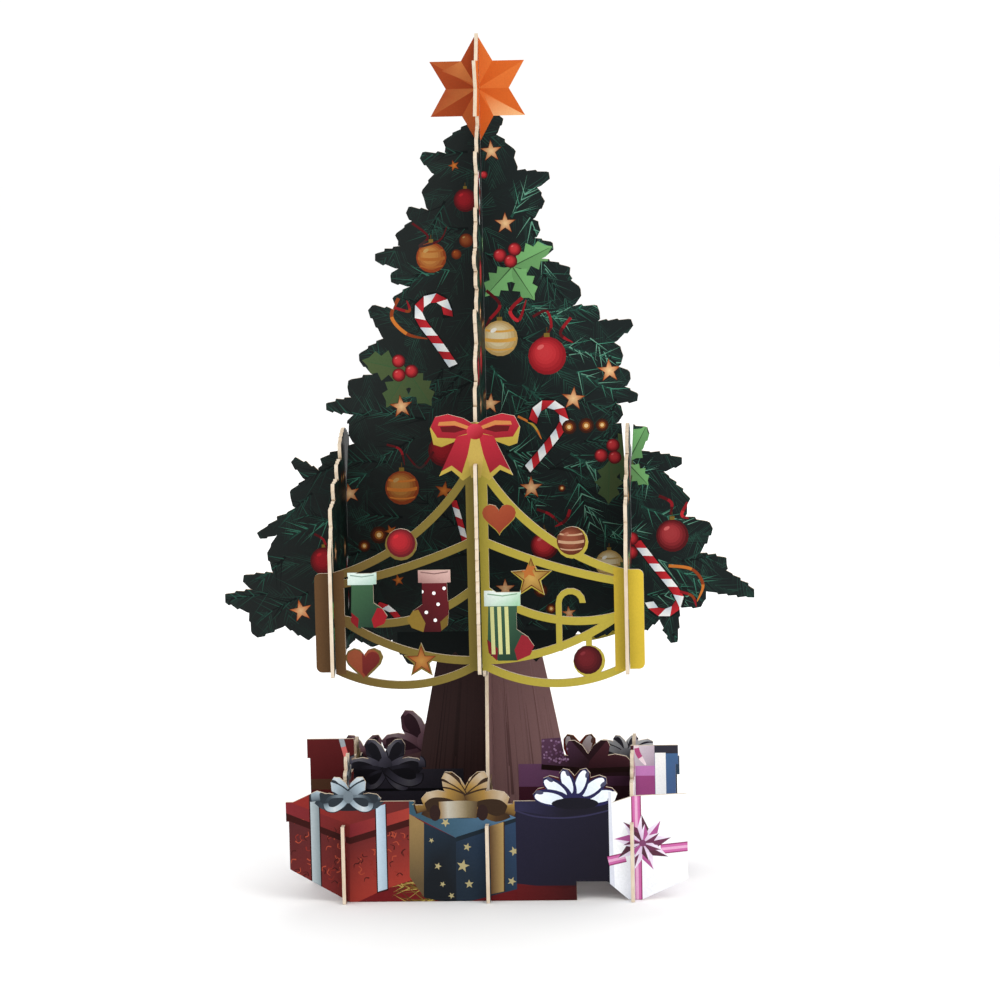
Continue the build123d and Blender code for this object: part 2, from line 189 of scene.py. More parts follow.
def star_points(centre, outer, inner, points, lean=0.0):
    corners = []
    for corner in range(2 * points):
        radius = inner if corner % 2 else outer
        corners.append(polar(centre, radius, lean + pi / 2 + pi * corner / points))
    return corners


def heart_points(centre, size, sides=28):
    corners = []
    for corner in range(sides):
        turn = tau * corner / sides
        swell = 0.81 * cos(turn) - 0.31 * cos(2 * turn) - 0.12 * cos(3 * turn) - 0.06 * cos(4 * turn)
        corners.append((centre[0] + size * sin(turn) ** 3, centre[1] + size * swell))
    return corners


def smooth(points, steps=6):
    """Path through the points, rounded between them."""
    ends = [points[0]] + points + [points[-1]]
    path = []
    for before, start, end, after in zip(ends, ends[1:], ends[2:], ends[3:]):
        for step in range(steps):
            t = step / steps
            path.append(tuple(
                0.5 * (2 * b + (c - a) * t + (2 * a - 5 * b + 4 * c - d) * t**2
                       + (3 * b - a - 3 * c + d) * t**3)
                for a, b, c, d in zip(before, start, end, after)
            ))
    return path + [points[-1]]


def walk(path, distance):
    """Point and heading at this distance along a path."""
    for start, end in zip(path, path[1:]):
        span, heading = bearing(start, end)
        if distance <= span:
            break
        distance -= span
    return polar(start, min(distance, span), heading), heading


def path_length(path):
    return sum(bearing(start, end)[0] for start, end in zip(path, path[1:]))


def area(loop):
    return sum(a[0] * b[1] - b[0] * a[1] for a, b in zip(loop, loop[1:] + loop[:1])) / 2


def inside(point, loop):
    crossings = 0
    for a, b in zip(loop, loop[1:] + loop[:1]):
        if (a[1] > point[1]) != (b[1] > point[1]):
            crossings += point[0] < a[0] + (b[0] - a[0]) * (point[1] - a[1]) / (b[1] - a[1])
    return crossings % 2 == 1


class Print:
    """One printed side of a sheet: fields of ink, each over the ones before it."""

    def __init__(self, ground, growth=(0.0, 0.0)):
        self.ground = ink(ground)
        self.growth = growth
        self.fields = []

    def needles_at(self, across):
        """How strongly the bare ground shows its needles, left and right of the axis."""
        return self.growth[0] if across < 0 else self.growth[1]

    def field(self, points, colour):
        """Lays a field, its corners a hair off the grid of the outlines, so that the two never merge."""
        corners = [(round(across, 3) + hair, round(height, 3) + hair) for across, height in points]
        if abs(area(corners)) > least_area:
            self.fields.append((corners if area(corners) > 0 else corners[::-1], ink(colour)))

    def strip(self, right, next_right, next_left, left, colour):
        """A four-cornered field, laid as two triangles so that a twisted one can't spill."""
        self.field([right, next_right, next_left], colour)
        self.field([right, next_left, left], colour)

    def ribbon(self, path, width, *inks, tip_width=None):
        """A strip along a path that runs through its inks, narrowing to its tip width if one is given."""
        tip_width = width if tip_width is None else tip_width
        rails = []
        for place, point in enumerate(path):
            before = path[max(place - 1, 0)]
            after = path[min(place + 1, len(path) - 1)]
            heading = bearing(before, after)[1]
            half = (width + (tip_width - width) * place / (len(path) - 1)) / 2
            rails.append((polar(point, half, heading - pi / 2), polar(point, half, heading + pi / 2)))
        for place, ((right, left), (next_right, next_left)) in enumerate(zip(rails, rails[1:])):
            colour = inks[0]
            if len(inks) > 1:
                start, end = (along(inks, (place + step) / (len(rails) - 1)) for step in (0, 1))
                colour = fade(start, end, path[place], path[place + 1])
            self.strip(right, next_right, next_left, left, colour)

    def twig(self, root, heading, length, tones, chance):
        """A fir twig whose needles fan forwards on both sides."""
        self.field([polar(root, 0.35, heading + pi / 2), polar(root, length, heading),
                    polar(root, 0.35, heading - pi / 2)], tones[0])
        count = round(length / needle_gap)
        for needle in range(count):
            share = (needle + chance.random()) / count
            foot = polar(root, length * share, heading)
            for side in (-1, 1):
                lean = heading + side * chance.uniform(0.12, 0.95)
                tip = polar(foot, needle_length * (1.1 - 0.5 * share) * chance.uniform(0.45, 1.15), lean)
                edge = polar(foot, needle_width * chance.uniform(0.7, 1.2), lean + pi / 2)
                self.field([foot, tip, edge], chance.choice(tones))

    def greenery(self, loop, chance, glow_left, glow_right):
        """Fir twigs all over the green part of a sheet, brighter or duller on each side of the axis; where
        the two sides differ, the duller side is painted shade.
        """
        reach = max(abs(across) for across, height in loop)
        top = min(crown_height, max(height for across, height in loop))
        rows = int((top - skirt_height) / twig_spacing) + 1
        columns = int(2 * reach / twig_spacing) + 1
        for row in range(rows, -1, -1):
            for column in range(columns):
                root = (
                    -reach + twig_spacing * (column + chance.uniform(0.0, 1.0)),
                    skirt_height + twig_spacing * (row + chance.uniform(0.0, 1.0)),
                )
                glow = (glow_right if root[0] > 0 else glow_left) * chance.uniform(0.25, 1.25)
                heading = chance.gauss(-0.35, 0.55)
                if root[0] < 0:
                    heading = pi - heading
                if inside(root, loop):
                    tones = [night, mixed(pine, fir, 0.6 * glow), mixed(fir, jade, glow**2)]
                    bright = glow > 0.7
                    tones.append(mixed(jade, frost, 0.6 * glow) if bright else mixed(pine, jade, 0.5 * glow))
                    self.twig(root, heading, twig_length * chance.uniform(0.7, 1.15), tones, chance)

    def ball(self, centre, radius, shade, tone, shine, stripe=None, cap=True):
        """A glass ball, darker towards its rim, with a small highlight at its upper left."""
        if cap:
            top = centre[1] + radius
            self.ribbon([(centre[0], top - 0.3), (centre[0], top + 0.2 * radius)], 0.3 * radius, old_gold)
            self.ribbon([(centre[0], top + 0.2 * radius), (centre[0], top + 0.5 * radius)], 0.25, bronze)
        rings = 6
        for ring in range(rings):
            share = ring / (rings - 1)
            middle = (centre[0] - 0.16 * radius * share, centre[1] + 0.2 * radius * share)
            size = radius * (1 - 0.72 * share)
            lit = mixed(tone, shine, 0.12 * share)
            self.field(oval(middle, size, size), mixed(shade, lit, min(1.0, 1.5 * share)))
        if stripe:
            self.ball_stripes(centre, radius, stripe)
        glint = (centre[0] - 0.34 * radius, centre[1] + 0.46 * radius)
        self.field(oval(glint, 0.2 * radius, 0.11 * radius, 0.5, sides=10), mixed(tone, shine, 0.75))

    def ball_stripes(self, centre, radius, stripe):
        """Painted bands round a ball, sagging as they would on a globe."""
        for level, thick in ((-0.6, 0.1), (-0.14, 0.2), (0.42, 0.12)):
            edges = []
            for height in (level, level + thick):
                half = 0.9 * (1 - height**2) ** 0.5
                edge = []
                for step in range(9):
                    out = half * (step / 4 - 1)
                    sag = 0.1 * (out / half) ** 2
                    edge.append((centre[0] + radius * out, centre[1] + radius * (height - 0.1 + sag)))
                edges.append(edge)
            self.field(edges[0] + edges[1][::-1], stripe)

    def small_star(self, centre, radius, lean=0.0, tip="bd5f2c", heart="ecc590"):
        """A five-pointed star, each point folded down its middle."""
        corners = star_points(centre, radius, 0.38 * radius, 5, lean)
        rim = star_points(centre, 1.1 * radius, 0.45 * radius, 5, lean)
        self.field(rim, ember)
        for place, (start, end) in enumerate(zip(corners, corners[1:] + corners[:1])):
            outer = mixed(tip, ember, 0.4 if place % 2 else 0.0)
            middle = (start[0] + end[0] - centre[0], start[1] + end[1] - centre[1])
            rim_point = polar(centre, 0.8 * radius, bearing(centre, middle)[1])
            self.field([centre, start, end], fade(heart, outer, centre, rim_point))

    def cane(self, points, width):
        """A candy cane along a path, with slanted stripes."""
        path = smooth(points, 10)
        length = path_length(path)
        count = round(length / cane_stripe)
        self.ribbon(path, 1.25 * width, night)
        for stripe in range(count):
            corners = []
            for share, side in ((stripe, -1), (stripe + 1, -1), (stripe + 1, 1), (stripe, 1)):
                distance = length * share / count + side * 0.4 * width
                point, heading = walk(path, min(length, max(0.0, distance)))
                corners.append(polar(point, width / 2, heading + side * pi / 2))
            light = fade(white, ice, corners[3], corners[0])
            dark = fade(scarlet, crimson, corners[3], corners[0])
            self.strip(*corners, dark if stripe % 2 == 0 else light)

    def leaf(self, root, tip, colour, vein):
        """A holly leaf with three spines a side and a folded middle."""
        length, heading = bearing(root, tip)
        edge = [(0.16, 0.13), (0.24, 0.27), (0.38, 0.17), (0.5, 0.33),
                (0.62, 0.18), (0.76, 0.25), (0.86, 0.09)]
        for side, tone in ((1, colour), (-1, mixed(colour, vein, 0.3))):
            flank = [polar(polar(root, out * length, heading), wide * length, heading + side * pi / 2)
                     for out, wide in edge]
            self.field([root] + flank + [tip], tone)
        self.ribbon([root, polar(root, 0.92 * length, heading)], 0.35, vein, tip_width=0.12)

    def holly(self, centre, leaves, berries, colour, vein):
        """Holly leaves, each from the centre to a tip, with berries on top."""
        for tip in leaves:
            self.leaf(centre, tip, colour, vein)
        for berry in berries:
            self.ball(berry, 1.75, maroon, scarlet, rose, cap=False)

    def light(self, centre, radius):
        """A lit fairy light: a warm glow fading into the needles."""
        for share, colour in ((1.0, "3a1d12"), (0.74, ember), (0.5, "a8672c"), (0.27, "ecc88a")):
            self.field(oval(centre, radius * share, radius * share, sides=12), colour)

    def curl(self, points, width, first, last):
        """A thin curled ribbon that shows its two sides in turn."""
        path = smooth(points)
        third = len(path) // 3
        self.ribbon(path[:third + 1], width, first)
        self.ribbon(path[third:2 * third + 1], width, last)
        self.ribbon(path[2 * third:], width, first, tip_width=0.3 * width)

    def top_star(self, left, right):
        """The six-pointed star, folded along its points; each half has its inks, light and dark."""
        centre = (0.0, star_height)
        corners = star_points(centre, 1.02 * star_radius, star_radius / 3**0.5, 6)
        for place, (start, end) in enumerate(zip(corners, corners[1:] + corners[:1])):
            light, dark = left if start[0] + end[0] < 0 else right
            tone = light if place % 2 else dark
            self.field([centre, start, end], fade(tone, mixed(tone, dark, 0.5), centre, start))

    def trunk(self, left, right, chance):
        """Bark with long upright grain, one tone on each side of the axis."""
        for side, (tone, streak) in ((-1, left), (1, right)):
            flank = [(0, 0), (0, trunk_top), (side * 14.0, trunk_top), (side * 19.0, 36), (side * 27.0, 0)]
            self.field(flank, fade(mixed(tone, streak, 0.6), tone, (0, trunk_top - 1), (side * 12.0, 20)))
            for line in range(30):
                share = chance.uniform(0.03, 1.0)
                foot, top = chance.uniform(0, 34), chance.uniform(40, trunk_top - 1)
                heights = (foot, (foot + top) / 2, top)
                path = [(side * share * (24.0 - 0.17 * height), height) for height in heights]
                width = chance.uniform(0.15, 0.9)
                self.ribbon(path, width, mixed(tone, streak, chance.uniform(0.2, 1.0)), tip_width=0.1)
        fringe = [(-24, trunk_top + 4)]
        for tooth in range(17):
            notch = 3.0 if tooth % 2 else 0.0
            fringe.append((-24 + 3 * tooth, 57.5 + 0.055 * abs(tooth - 8) + notch))
        self.field(fringe + [(24, trunk_top + 4)], night)

    def satin_loop(self, knot, tip, fat, light, dark):
        """One loop of a satin bow: its dark inside, the band coming back and the band going out over it."""
        length, heading = bearing(knot, tip)

        def at(out, aside):
            return polar(polar(knot, out * length, heading), aside * fat * length, heading + pi / 2)

        near = smooth([knot, at(0.35, 0.34), at(0.72, 0.44), at(0.97, 0.2), at(0.96, -0.18)], 4)
        far = smooth([at(0.96, -0.18), at(0.7, -0.42), at(0.35, -0.3), knot], 4)
        band = 0.34 * abs(fat) * length
        shade = mixed(dark, black, 0.5)
        self.field(near + far[1:-1], shade)
        self.ribbon(far, 0.6 * band, shade, dark, mixed(dark, light, 0.4), dark)
        self.ribbon(near, 1.35 * band, shade)
        shine = mixed(light, white, 0.8 * max(ink(light)))
        self.ribbon(near, band, dark, light, shine, light, dark)

    def petal_bow(self, middle, base, width, rise, petals, tip_ink, root_ink, edge):
        """A bow whose loops lie flat as petals, each with a dark edge and a curl near its tip."""
        knot = (middle, base)
        for petal in range(petals):
            angle = pi * (0.07 + 0.86 * petal / (petals - 1))
            across, height = width / 2 * cos(angle), rise * sin(angle)
            reach, lean = bearing((0, 0), (across, height))
            self.field(oval(polar(knot, 0.55 * reach, lean), 0.46 * reach, 0.2 * reach, lean), edge)
            self.field(oval(polar(knot, 0.6 * reach, lean + 0.03), 0.35 * reach, 0.14 * reach, lean),
                       fade(root_ink, tip_ink, knot, polar(knot, reach, lean)))
            fold = polar(knot, 0.86 * reach, lean - 0.1)
            self.field(oval(fold, 0.1 * reach, 0.05 * reach, lean), mixed(edge, tip_ink, 0.05))

    def fan_bow(self, middle, base, width, rise, light, dark, petals=4):
        """A bow of satin loops round a knot, in the shape the die cuts."""
        knot = (middle, base + 0.04 * rise)
        for petal in sorted(range(petals), key=lambda petal: abs(petal - (petals - 1) / 2)):
            angle = pi * (0.07 + 0.86 * petal / (petals - 1))
            tip = (middle + width / 2 * cos(angle), base + rise * sin(angle))
            self.satin_loop(knot, tip, 0.5 if tip[0] > middle else -0.5, light, dark)
        self.field(oval((middle, base + 0.2 * rise), 0.09 * width, 0.22 * rise),
                   fade(light, dark, (middle - 2, base + 3), (middle + 2, base)))

    def gift(self, left, right, top, paper, shade, tie, chance, foot=0.0):
        """A lidded gift seen flat on: speckled paper, a shadow under the lid and an upright ribbon."""
        self.field(box(left - 1, right + 1, foot, top + 0.5), fade(paper, shade, (left, top), (right, foot)))
        for speck in range(round((right - left) * (top - foot) / 22)):
            spot = (chance.uniform(left, right), chance.uniform(foot, top - 6))
            self.field(star_points(spot, 0.9, 0.4, 4, chance.uniform(0, 1)), mixed(paper, tie, 0.35))
        self.field(box(left - 1, right + 1, top - 5.6, top - 5), mixed(shade, black, 0.5))
        lid_light = fade(mixed(paper, white, 0.12), paper, (left, top), (right, top))
        self.field(box(left - 1, right + 1, top - 5, top + 0.5), lid_light)
        middle = (left + right) / 2
        self.field(box(middle - 1.7, middle + 1.7, foot, top + 0.5), mixed(tie, black, 0.45))
        sheen = fade(mixed(tie, white, 0.3), tie, (middle - 1.4, 0), (middle + 1.4, 0))
        self.field(box(middle - 1.4, middle + 1.4, foot, top + 0.5), sheen)

    def trimmings(self, loop, chance, count):
        """Ornaments scattered over the greenery of a side that the photograph doesn't show."""
        reach = max(abs(across) for across, height in loop)
        top = min(crown_height - 8, max(height for across, height in loop))
        placed = []
        for attempt in range(40 * count):
            spot = (chance.uniform(-reach, reach), chance.uniform(skirt_height + 8, top - 6))
            rim = [polar(spot, ornament_reach, tau * turn / 8) for turn in range(8)]
            clear = len(placed) < count and all(inside(point, loop) for point in rim)
            if clear and all(bearing(spot, other)[0] > 0.8 * twig_length for other in placed):
                self.ornament(spot, len(placed) % 7, chance)
                placed.append(spot)

    def ornament(self, spot, kind, chance):
        """One of seven ornaments, by its number."""
        across, height = spot
        if kind in (0, 4):
            self.ball(spot, 3.9, maroon, scarlet if kind else crimson, rose)
        elif kind == 1:
            self.small_star(spot, 2.8, chance.uniform(-0.3, 0.3))
        elif kind == 2:
            self.cane([(across - 4.2, height + 2), (across - 1, height + 5.5), (across + 2.6, height + 2.4),
                       (across + 1.4, height - 2), (across - 2, height - 8)], 1.8)
        elif kind == 3:
            self.ball(spot, 4.1, rust, straw, cream, stripe=amber)
        elif kind == 5:
            leaves = [(across + 8, height + 2), (across - 2, height - 8), (across - 7, height + 3)]
            berries = [(across - 1.6, height + 1), (across + 1.6, height + 1.2), (across, height - 1.4)]
            self.holly(spot, leaves, berries, leaf_green, leaf_dark)
        else:
            for place in (-4.4, 0, 4.4):
                self.light((across + place, height), 1.7)


def main_front(loop):
    """The side of the main panel that the photograph shows."""
    chance = random.Random(7)
    # Left of the axis the ground's needles (0.35 against 0.6) and the twigs (0.45 against 1.0) are painted
    # duller: painted shade that the cross panel casts on the left half.
    face = Print(fade("1e2322", "1a2121", (-10, 100), (10, 100)), (0.35, 0.6))
    face.greenery(loop, chance, 0.45, 1.0)
    # The left half of the trunk takes darker bark inks than the right: painted shade on the left half.
    face.trunk((bark, bark_in_shade), (mauve, walnut), chance)
    bright_sprays = [((8, 173), 1.0, 9), ((11, 151), -0.5, 13), ((16, 147), 0.25, 14), ((20, 140), -0.3, 13),
                     ((2, 135), -1.0, 10), ((10, 130), -0.7, 14), ((24, 133), -0.5, 12), ((6, 112), -0.9, 9),
                     ((22, 112), -0.6, 12), ((40, 98), -0.4, 14), ((44, 84), -0.5, 13), ((26, 98), -0.8, 11)]
    for root, heading, length in bright_sprays:
        face.twig(root, heading, length, [fir, jade, mixed(jade, frost, 0.6), pine], chance)
    # Twigs on the left half, in duller inks than those on the right: painted shade on the left half.
    shaded_left_sprays = [((-8, 160), 3.4, 9), ((-14, 132), 3.9, 11), ((-30, 108), 3.6, 12), ((-40, 96), 3.5, 13)]
    for root, heading, length in shaded_left_sprays:
        face.twig(root, heading, length, [pine, fir, mixed(fir, jade, 0.7)], chance)

    face.ball((-3.7, 177.6), 3.0, maroon, crimson, scarlet)
    face.ball((-3.7, 167.3), 1.8, ember, rust, straw, cap=False)
    face.ball((-6.3, 163.8), 1.3, ember, rust, amber, cap=False)
    face.ball((-12.8, 163.1), 3.9, rust, "b87a3c", straw, stripe="a8622c")
    face.small_star((-6.4, 186.5), 1.4, 0.3, rust, amber)
    face.curl([(-17.5, 172), (-13.5, 168.5), (-15.8, 166), (-10.5, 167.5), (-8.6, 171)], 0.6, maroon, bark)
    face.curl([(-21.5, 152.8), (-23.4, 148), (-19.6, 143.6), (-14.2, 142.2)], 0.9, rust, amber)
    face.curl([(-22.6, 150.4), (-18.8, 149.4), (-19.4, 152.2)], 0.7, crimson, rust)
    face.cane([(-8.7, 147.6), (-9.6, 151.4), (-12.8, 152.8), (-16.2, 150.6), (-16, 147.2),
               (-11.6, 141), (-7.4, 134.6)], 2.3)
    face.holly((-19.5, 134), [(-31.4, 137), (-25.4, 124.6), (-13.6, 124.8)],
               [(-21.9, 136.6), (-18.6, 133.9), (-21.9, 133)], olive_leaf, leaf_dark)
    face.small_star((-21.5, 124.8), 2.9, 0.1)
    face.ball((-10.6, 113.2), 4.2, maroon, crimson, scarlet)
    face.curl([(-25.5, 115), (-22, 113.6), (-21, 109.6)], 0.6, maroon, crimson)
    face.curl([(-13.4, 113), (-17, 108.8), (-20.6, 112.6)], 0.6, maroon, bark)
    face.ball((-21.8, 103.7), 4.4, rust, "b07434", straw, stripe=amber)
    face.small_star((-35.4, 102.4), 2.6, 0.2)
    face.small_star((-10.9, 102.8), 2.4, -0.2, rust, amber)
    face.cane([(-8.6, 100.6), (-7.2, 95.4), (-5.5, 88.3)], 1.5)
    face.light((-28.1, 91.5), 2.3)
    face.light((-32, 88.7), 1.6)
    face.small_star((-25, 92.5), 1.7, 0.4, rust, amber)
    face.ball((-42.6, 84.9), 3.6, maroon, crimson, scarlet)
    face.curl([(-45, 92), (-42.6, 90.4), (-41.4, 86.6)], 0.6, maroon, crimson)
    face.small_star((-49, 71.9), 2.9, 0.2, orange, peach)
    face.small_star((-23.4, 79.6), 1.6, 0.2, rust, amber)
    face.cane([(-29.2, 73.4), (-26, 72.2), (-23.6, 69.6)], 1.5)

    face.small_star((3.2, 190), 2.7, 0.05)
    face.ball((1.2, 184), 1.0, maroon, scarlet, rose, cap=False)
    face.small_star((6.4, 171.5), 2.7, 0.0)
    face.holly((8, 160.4), [(18.4, 165.4), (13.6, 151.6), (0.8, 152.8)],
               [(4.9, 163.3), (8.7, 164.8), (7.6, 161.8)], leaf_green, leaf_dark)
    face.curl([(1.2, 154.4), (4.6, 150.6), (2, 147), (0.8, 145)], 0.8, maroon, crimson)
    face.curl([(10.4, 152.4), (7.2, 149), (9.4, 146.6), (11.4, 151.8)], 0.9, crimson, scarlet)
    face.curl([(13, 147.4), (16.6, 148.8), (17.6, 144.4), (14.4, 141.6)], 0.7, maroon, crimson)
    face.curl([(22.8, 147), (20, 143), (23.2, 140.6)], 0.8, crimson, maroon)
    face.ball((4.4, 142), 4.6, straw, cream, white, stripe="d8a24a")
    face.ball((16.5, 137.3), 4.9, crimson, scarlet, rose)
    face.small_star((32.4, 133.2), 3.0, 0.05)
    face.small_star((23, 126.1), 3.0, -0.1)
    face.small_star((1.6, 125.2), 2.6, -0.1)
    face.curl([(8.6, 121.8), (12.6, 119.4), (14.6, 115.8)], 0.6, amber, gold)
    face.cane([(12.4, 120), (13.4, 123.4), (16.6, 125), (20, 123), (20.2, 119.4),
               (15.6, 113.4), (10.4, 107.6)], 2.2)
    face.light((21.8, 118.8), 1.9)
    face.light((26.2, 119.1), 2.0)
    face.light((30.3, 119.2), 1.7)
    face.holly((32, 110), [(41.6, 117.6), (31.6, 98.6), (40.8, 105.4)],
               [(29.9, 111.3), (33, 113.9), (33.4, 110.8)], olive_leaf, leaf_dark)
    face.leaf((36.9, 109.6), (41.8, 119), leaf_green, leaf_dark)
    face.leaf((36.9, 109), (42, 103.4), leaf_green, leaf_dark)
    face.small_star((11.7, 103.2), 2.9, 0.0)
    face.light((19.6, 103), 1.0)
    face.curl([(13, 97.6), (16.4, 96.2), (18.8, 93.8)], 0.7, maroon, crimson)
    face.curl([(21.6, 97.4), (20.4, 94.6), (17.6, 93)], 0.8, crimson, maroon)
    face.ball((14.8, 88.1), 3.6, maroon, scarlet, rose)
    face.ball((31.5, 83.1), 3.6, straw, cream, white, stripe=straw)
    face.small_star((4.4, 77), 2.5, 0.0)
    face.light((13.6, 76.4), 1.8)
    face.light((16.2, 71.6), 1.4)
    face.small_star((20.8, 70.4), 1.8, 0.1, orange, peach)
    face.ball((47.9, 90.2), 4.2, maroon, "9a2a30", rose)
    face.curl([(44.6, 100.6), (47.8, 98.8), (47.4, 95.6)], 0.8, maroon, crimson)
    face.curl([(52, 98.8), (50.4, 95.6), (52.2, 94.6)], 0.8, crimson, scarlet)
    face.cane([(38.4, 89.2), (43.6, 82.2), (48.4, 76), (49.6, 73.2), (47.2, 70.4),
               (43.4, 70.6), (41.4, 73.4)], 2.1)
    face.curl([(46.8, 82.4), (52.8, 81.4), (55.6, 77.4), (54, 73)], 0.8, amber, rust)
    face.curl([(49.6, 75.6), (52.8, 74.4), (53.8, 71.6)], 0.7, crimson, rust)
    face.holly((33.5, 80.8), [(37.2, 84)], [(37.4, 89.6), (37.2, 86)], olive_leaf, leaf_dark)

    gifts_beside_trunk(face, chance)
    face.top_star(("b0602f", "943f1c"), star_inks)
    face.field([(1.5, 204.8), (12.1, 199.0), (4.0, 199.0)], fade("e8b27c", "d2702e", (7, 200.2), (2, 204)))
    for glint in ([(0, 206), (-8.1, 206), (-12.1, 199)], [(-0.5, 207), (-4.0, 213), (-9, 210.6)]):
        face.field(glint, fade("b8703c", "9c4a26", (-3.4, 206), (-8.0, 205)))
    return face


def gifts_beside_trunk(face, chance):
    """The gifts that stand on the main panel, each side of the trunk."""
    face.field(box(-50, -36, 0, 39), fade("5e1c1e", "421415", (-48, 38), (-40, 20)))
    face.field(box(-50, -36, 24.6, 27.4), "4a3021")
    face.curl([(-39.6, 39), (-38.4, 34), (-37, 29)], 1.3, silver, rose)
    face.field(box(-36.8, -7.6, 0, 29.8), fade("312e38", "1a181c", (-34, 29), (-10, 6)))
    face.field(box(-36.8, -7.6, 24.0, 24.7), black)
    face.fan_bow(-28.0, 29.1, 20.0, 9.5, "4a4855", "211f28")
    for tip in ((-36.6, 27.6), (-33.0, 25.6), (-22.4, 25.4), (-19.0, 27.8)):
        face.satin_loop((-28.0, 29.6), tip, 0.55 if tip[0] < -28 else -0.55, "3c3a46", "1b1920")

    face.field(box(6.8, 42.2, 0, 30.8), fade("4a2230", "301a20", (8, 24), (30, 20)))
    face.field(box(6.8, 42.2, 24.8, 30.8), fade("7a5074", "3c2030", (9, 29.5), (30, 26)))
    face.field([(19.4, 38), (37.6, 38), (37.6, 27.4), (19.4, 27.4)], "2a161c")
    left_wing = [(25.4, 31.4), (19.8, 37.8), (13.0, 37.4), (12.8, 29.6), (24.6, 28.6)]
    face.field(left_wing, fade("66445f", "2e1a20", (14, 36), (22, 31)))
    face.field([(25.4, 31.4), (31.0, 38), (37.4, 37), (37.2, 28.6), (24.6, 28.6)],
               fade("4c2830", "33191f", (30, 36), (30, 29)))
    face.ribbon([(12.8, 30.0), (25.0, 28.8), (37.2, 29.2)], 1.4, "20100f")
    for spot in range(50):
        place = (chance.uniform(13.2, 19.8), chance.uniform(31, 37))
        face.field(oval(place, 0.3, 0.3, sides=6), mixed(purple, "b48fb4", chance.random()))
    face.field(box(36.9, 42.3, 0, 30.2), fade("9a4a7f", "8a3f70", (37, 27), (42, 14)))
    face.field(box(36.9, 42.3, 27.4, 30.2), "bf7cb6")
    face.field(box(36.9, 42.4, 30, 37), fade("ddd2da", "a894a6", (37, 35), (42, 30)))
    face.curl([(37.4, 37), (38.0, 33.4), (40.0, 30.2)], 1.3, "f0dce2", pink)
    face.field(box(42.3, 50, 0, 36), fade("45668e", "46517a", (46, 32), (46, 26)))
    face.field(box(42.3, 50, 33.2, 36), "33323c")
    face.field(box(42.4, 45.2, 0, 33.4), fade(white, ice, (42.4, 30), (45.2, 20)))


def main_back(loop):
    """The far side of the main panel: tree, trunk and the backs of its gifts."""
    chance = random.Random(19)
    face = Print(fade(night, pine, (0, 200), (0, 60)), (0.8, 0.8))
    face.greenery(loop, chance, 0.75, 0.75)
    face.trunk((walnut, bark), (mauve, walnut), chance)
    face.trimmings(loop, chance, 40)
    face.gift(-48, -37, 34, "4a72a8", navy, white, chance)
    face.gift(-40, -7.8, 30, purple, plum, "caa0c6", chance)
    face.gift(7.8, 36.8, 29, "44424c", black, silver, chance)
    face.gift(37.6, 48, 36.5, "8c221c", maroon, straw, chance)
    face.fan_bow(-25.0, 29.0, 23.0, 8.6, "6d3a58", "33122a")
    face.fan_bow(28.0, 29.0, 20.0, 9.5, "55535f", "1c1b22")
    face.top_star((orange, rust), star_inks)
    return face


def cross_side(loop, seed, papers):
    """One side of the cross panel: tree, trunk and the gifts on its foot."""
    chance = random.Random(seed)
    face = Print(fade(night, pine, (0, 200), (0, 60)), (0.8, 0.8))
    face.greenery(loop, chance, 0.85, 0.85)
    face.trunk((mauve, walnut), (mauve, walnut), chance)
    face.trimmings(loop, chance, 26)
    for side, (paper, shade, tie) in zip((-1, 1), papers):
        face.gift(*sorted((side * 28, side * 9)), 24, paper, shade, tie, chance)
        face.fan_bow(side * 14.4, 24.0, 13.0, 6.5, tie, mixed(tie, black, 0.6))
    face.top_star((star_inks[0], orange), (star_inks[0], orange))
    return face


def vane_side(loop, seed):
    """One side of a slice of the tree."""
    chance = random.Random(seed)
    face = Print(fade(night, pine, (0, 120), (0, 60)), (0.8, 0.8))
    face.greenery(loop, chance, 0.8, 0.8)
    face.trimmings(loop, chance, 9)
    return face


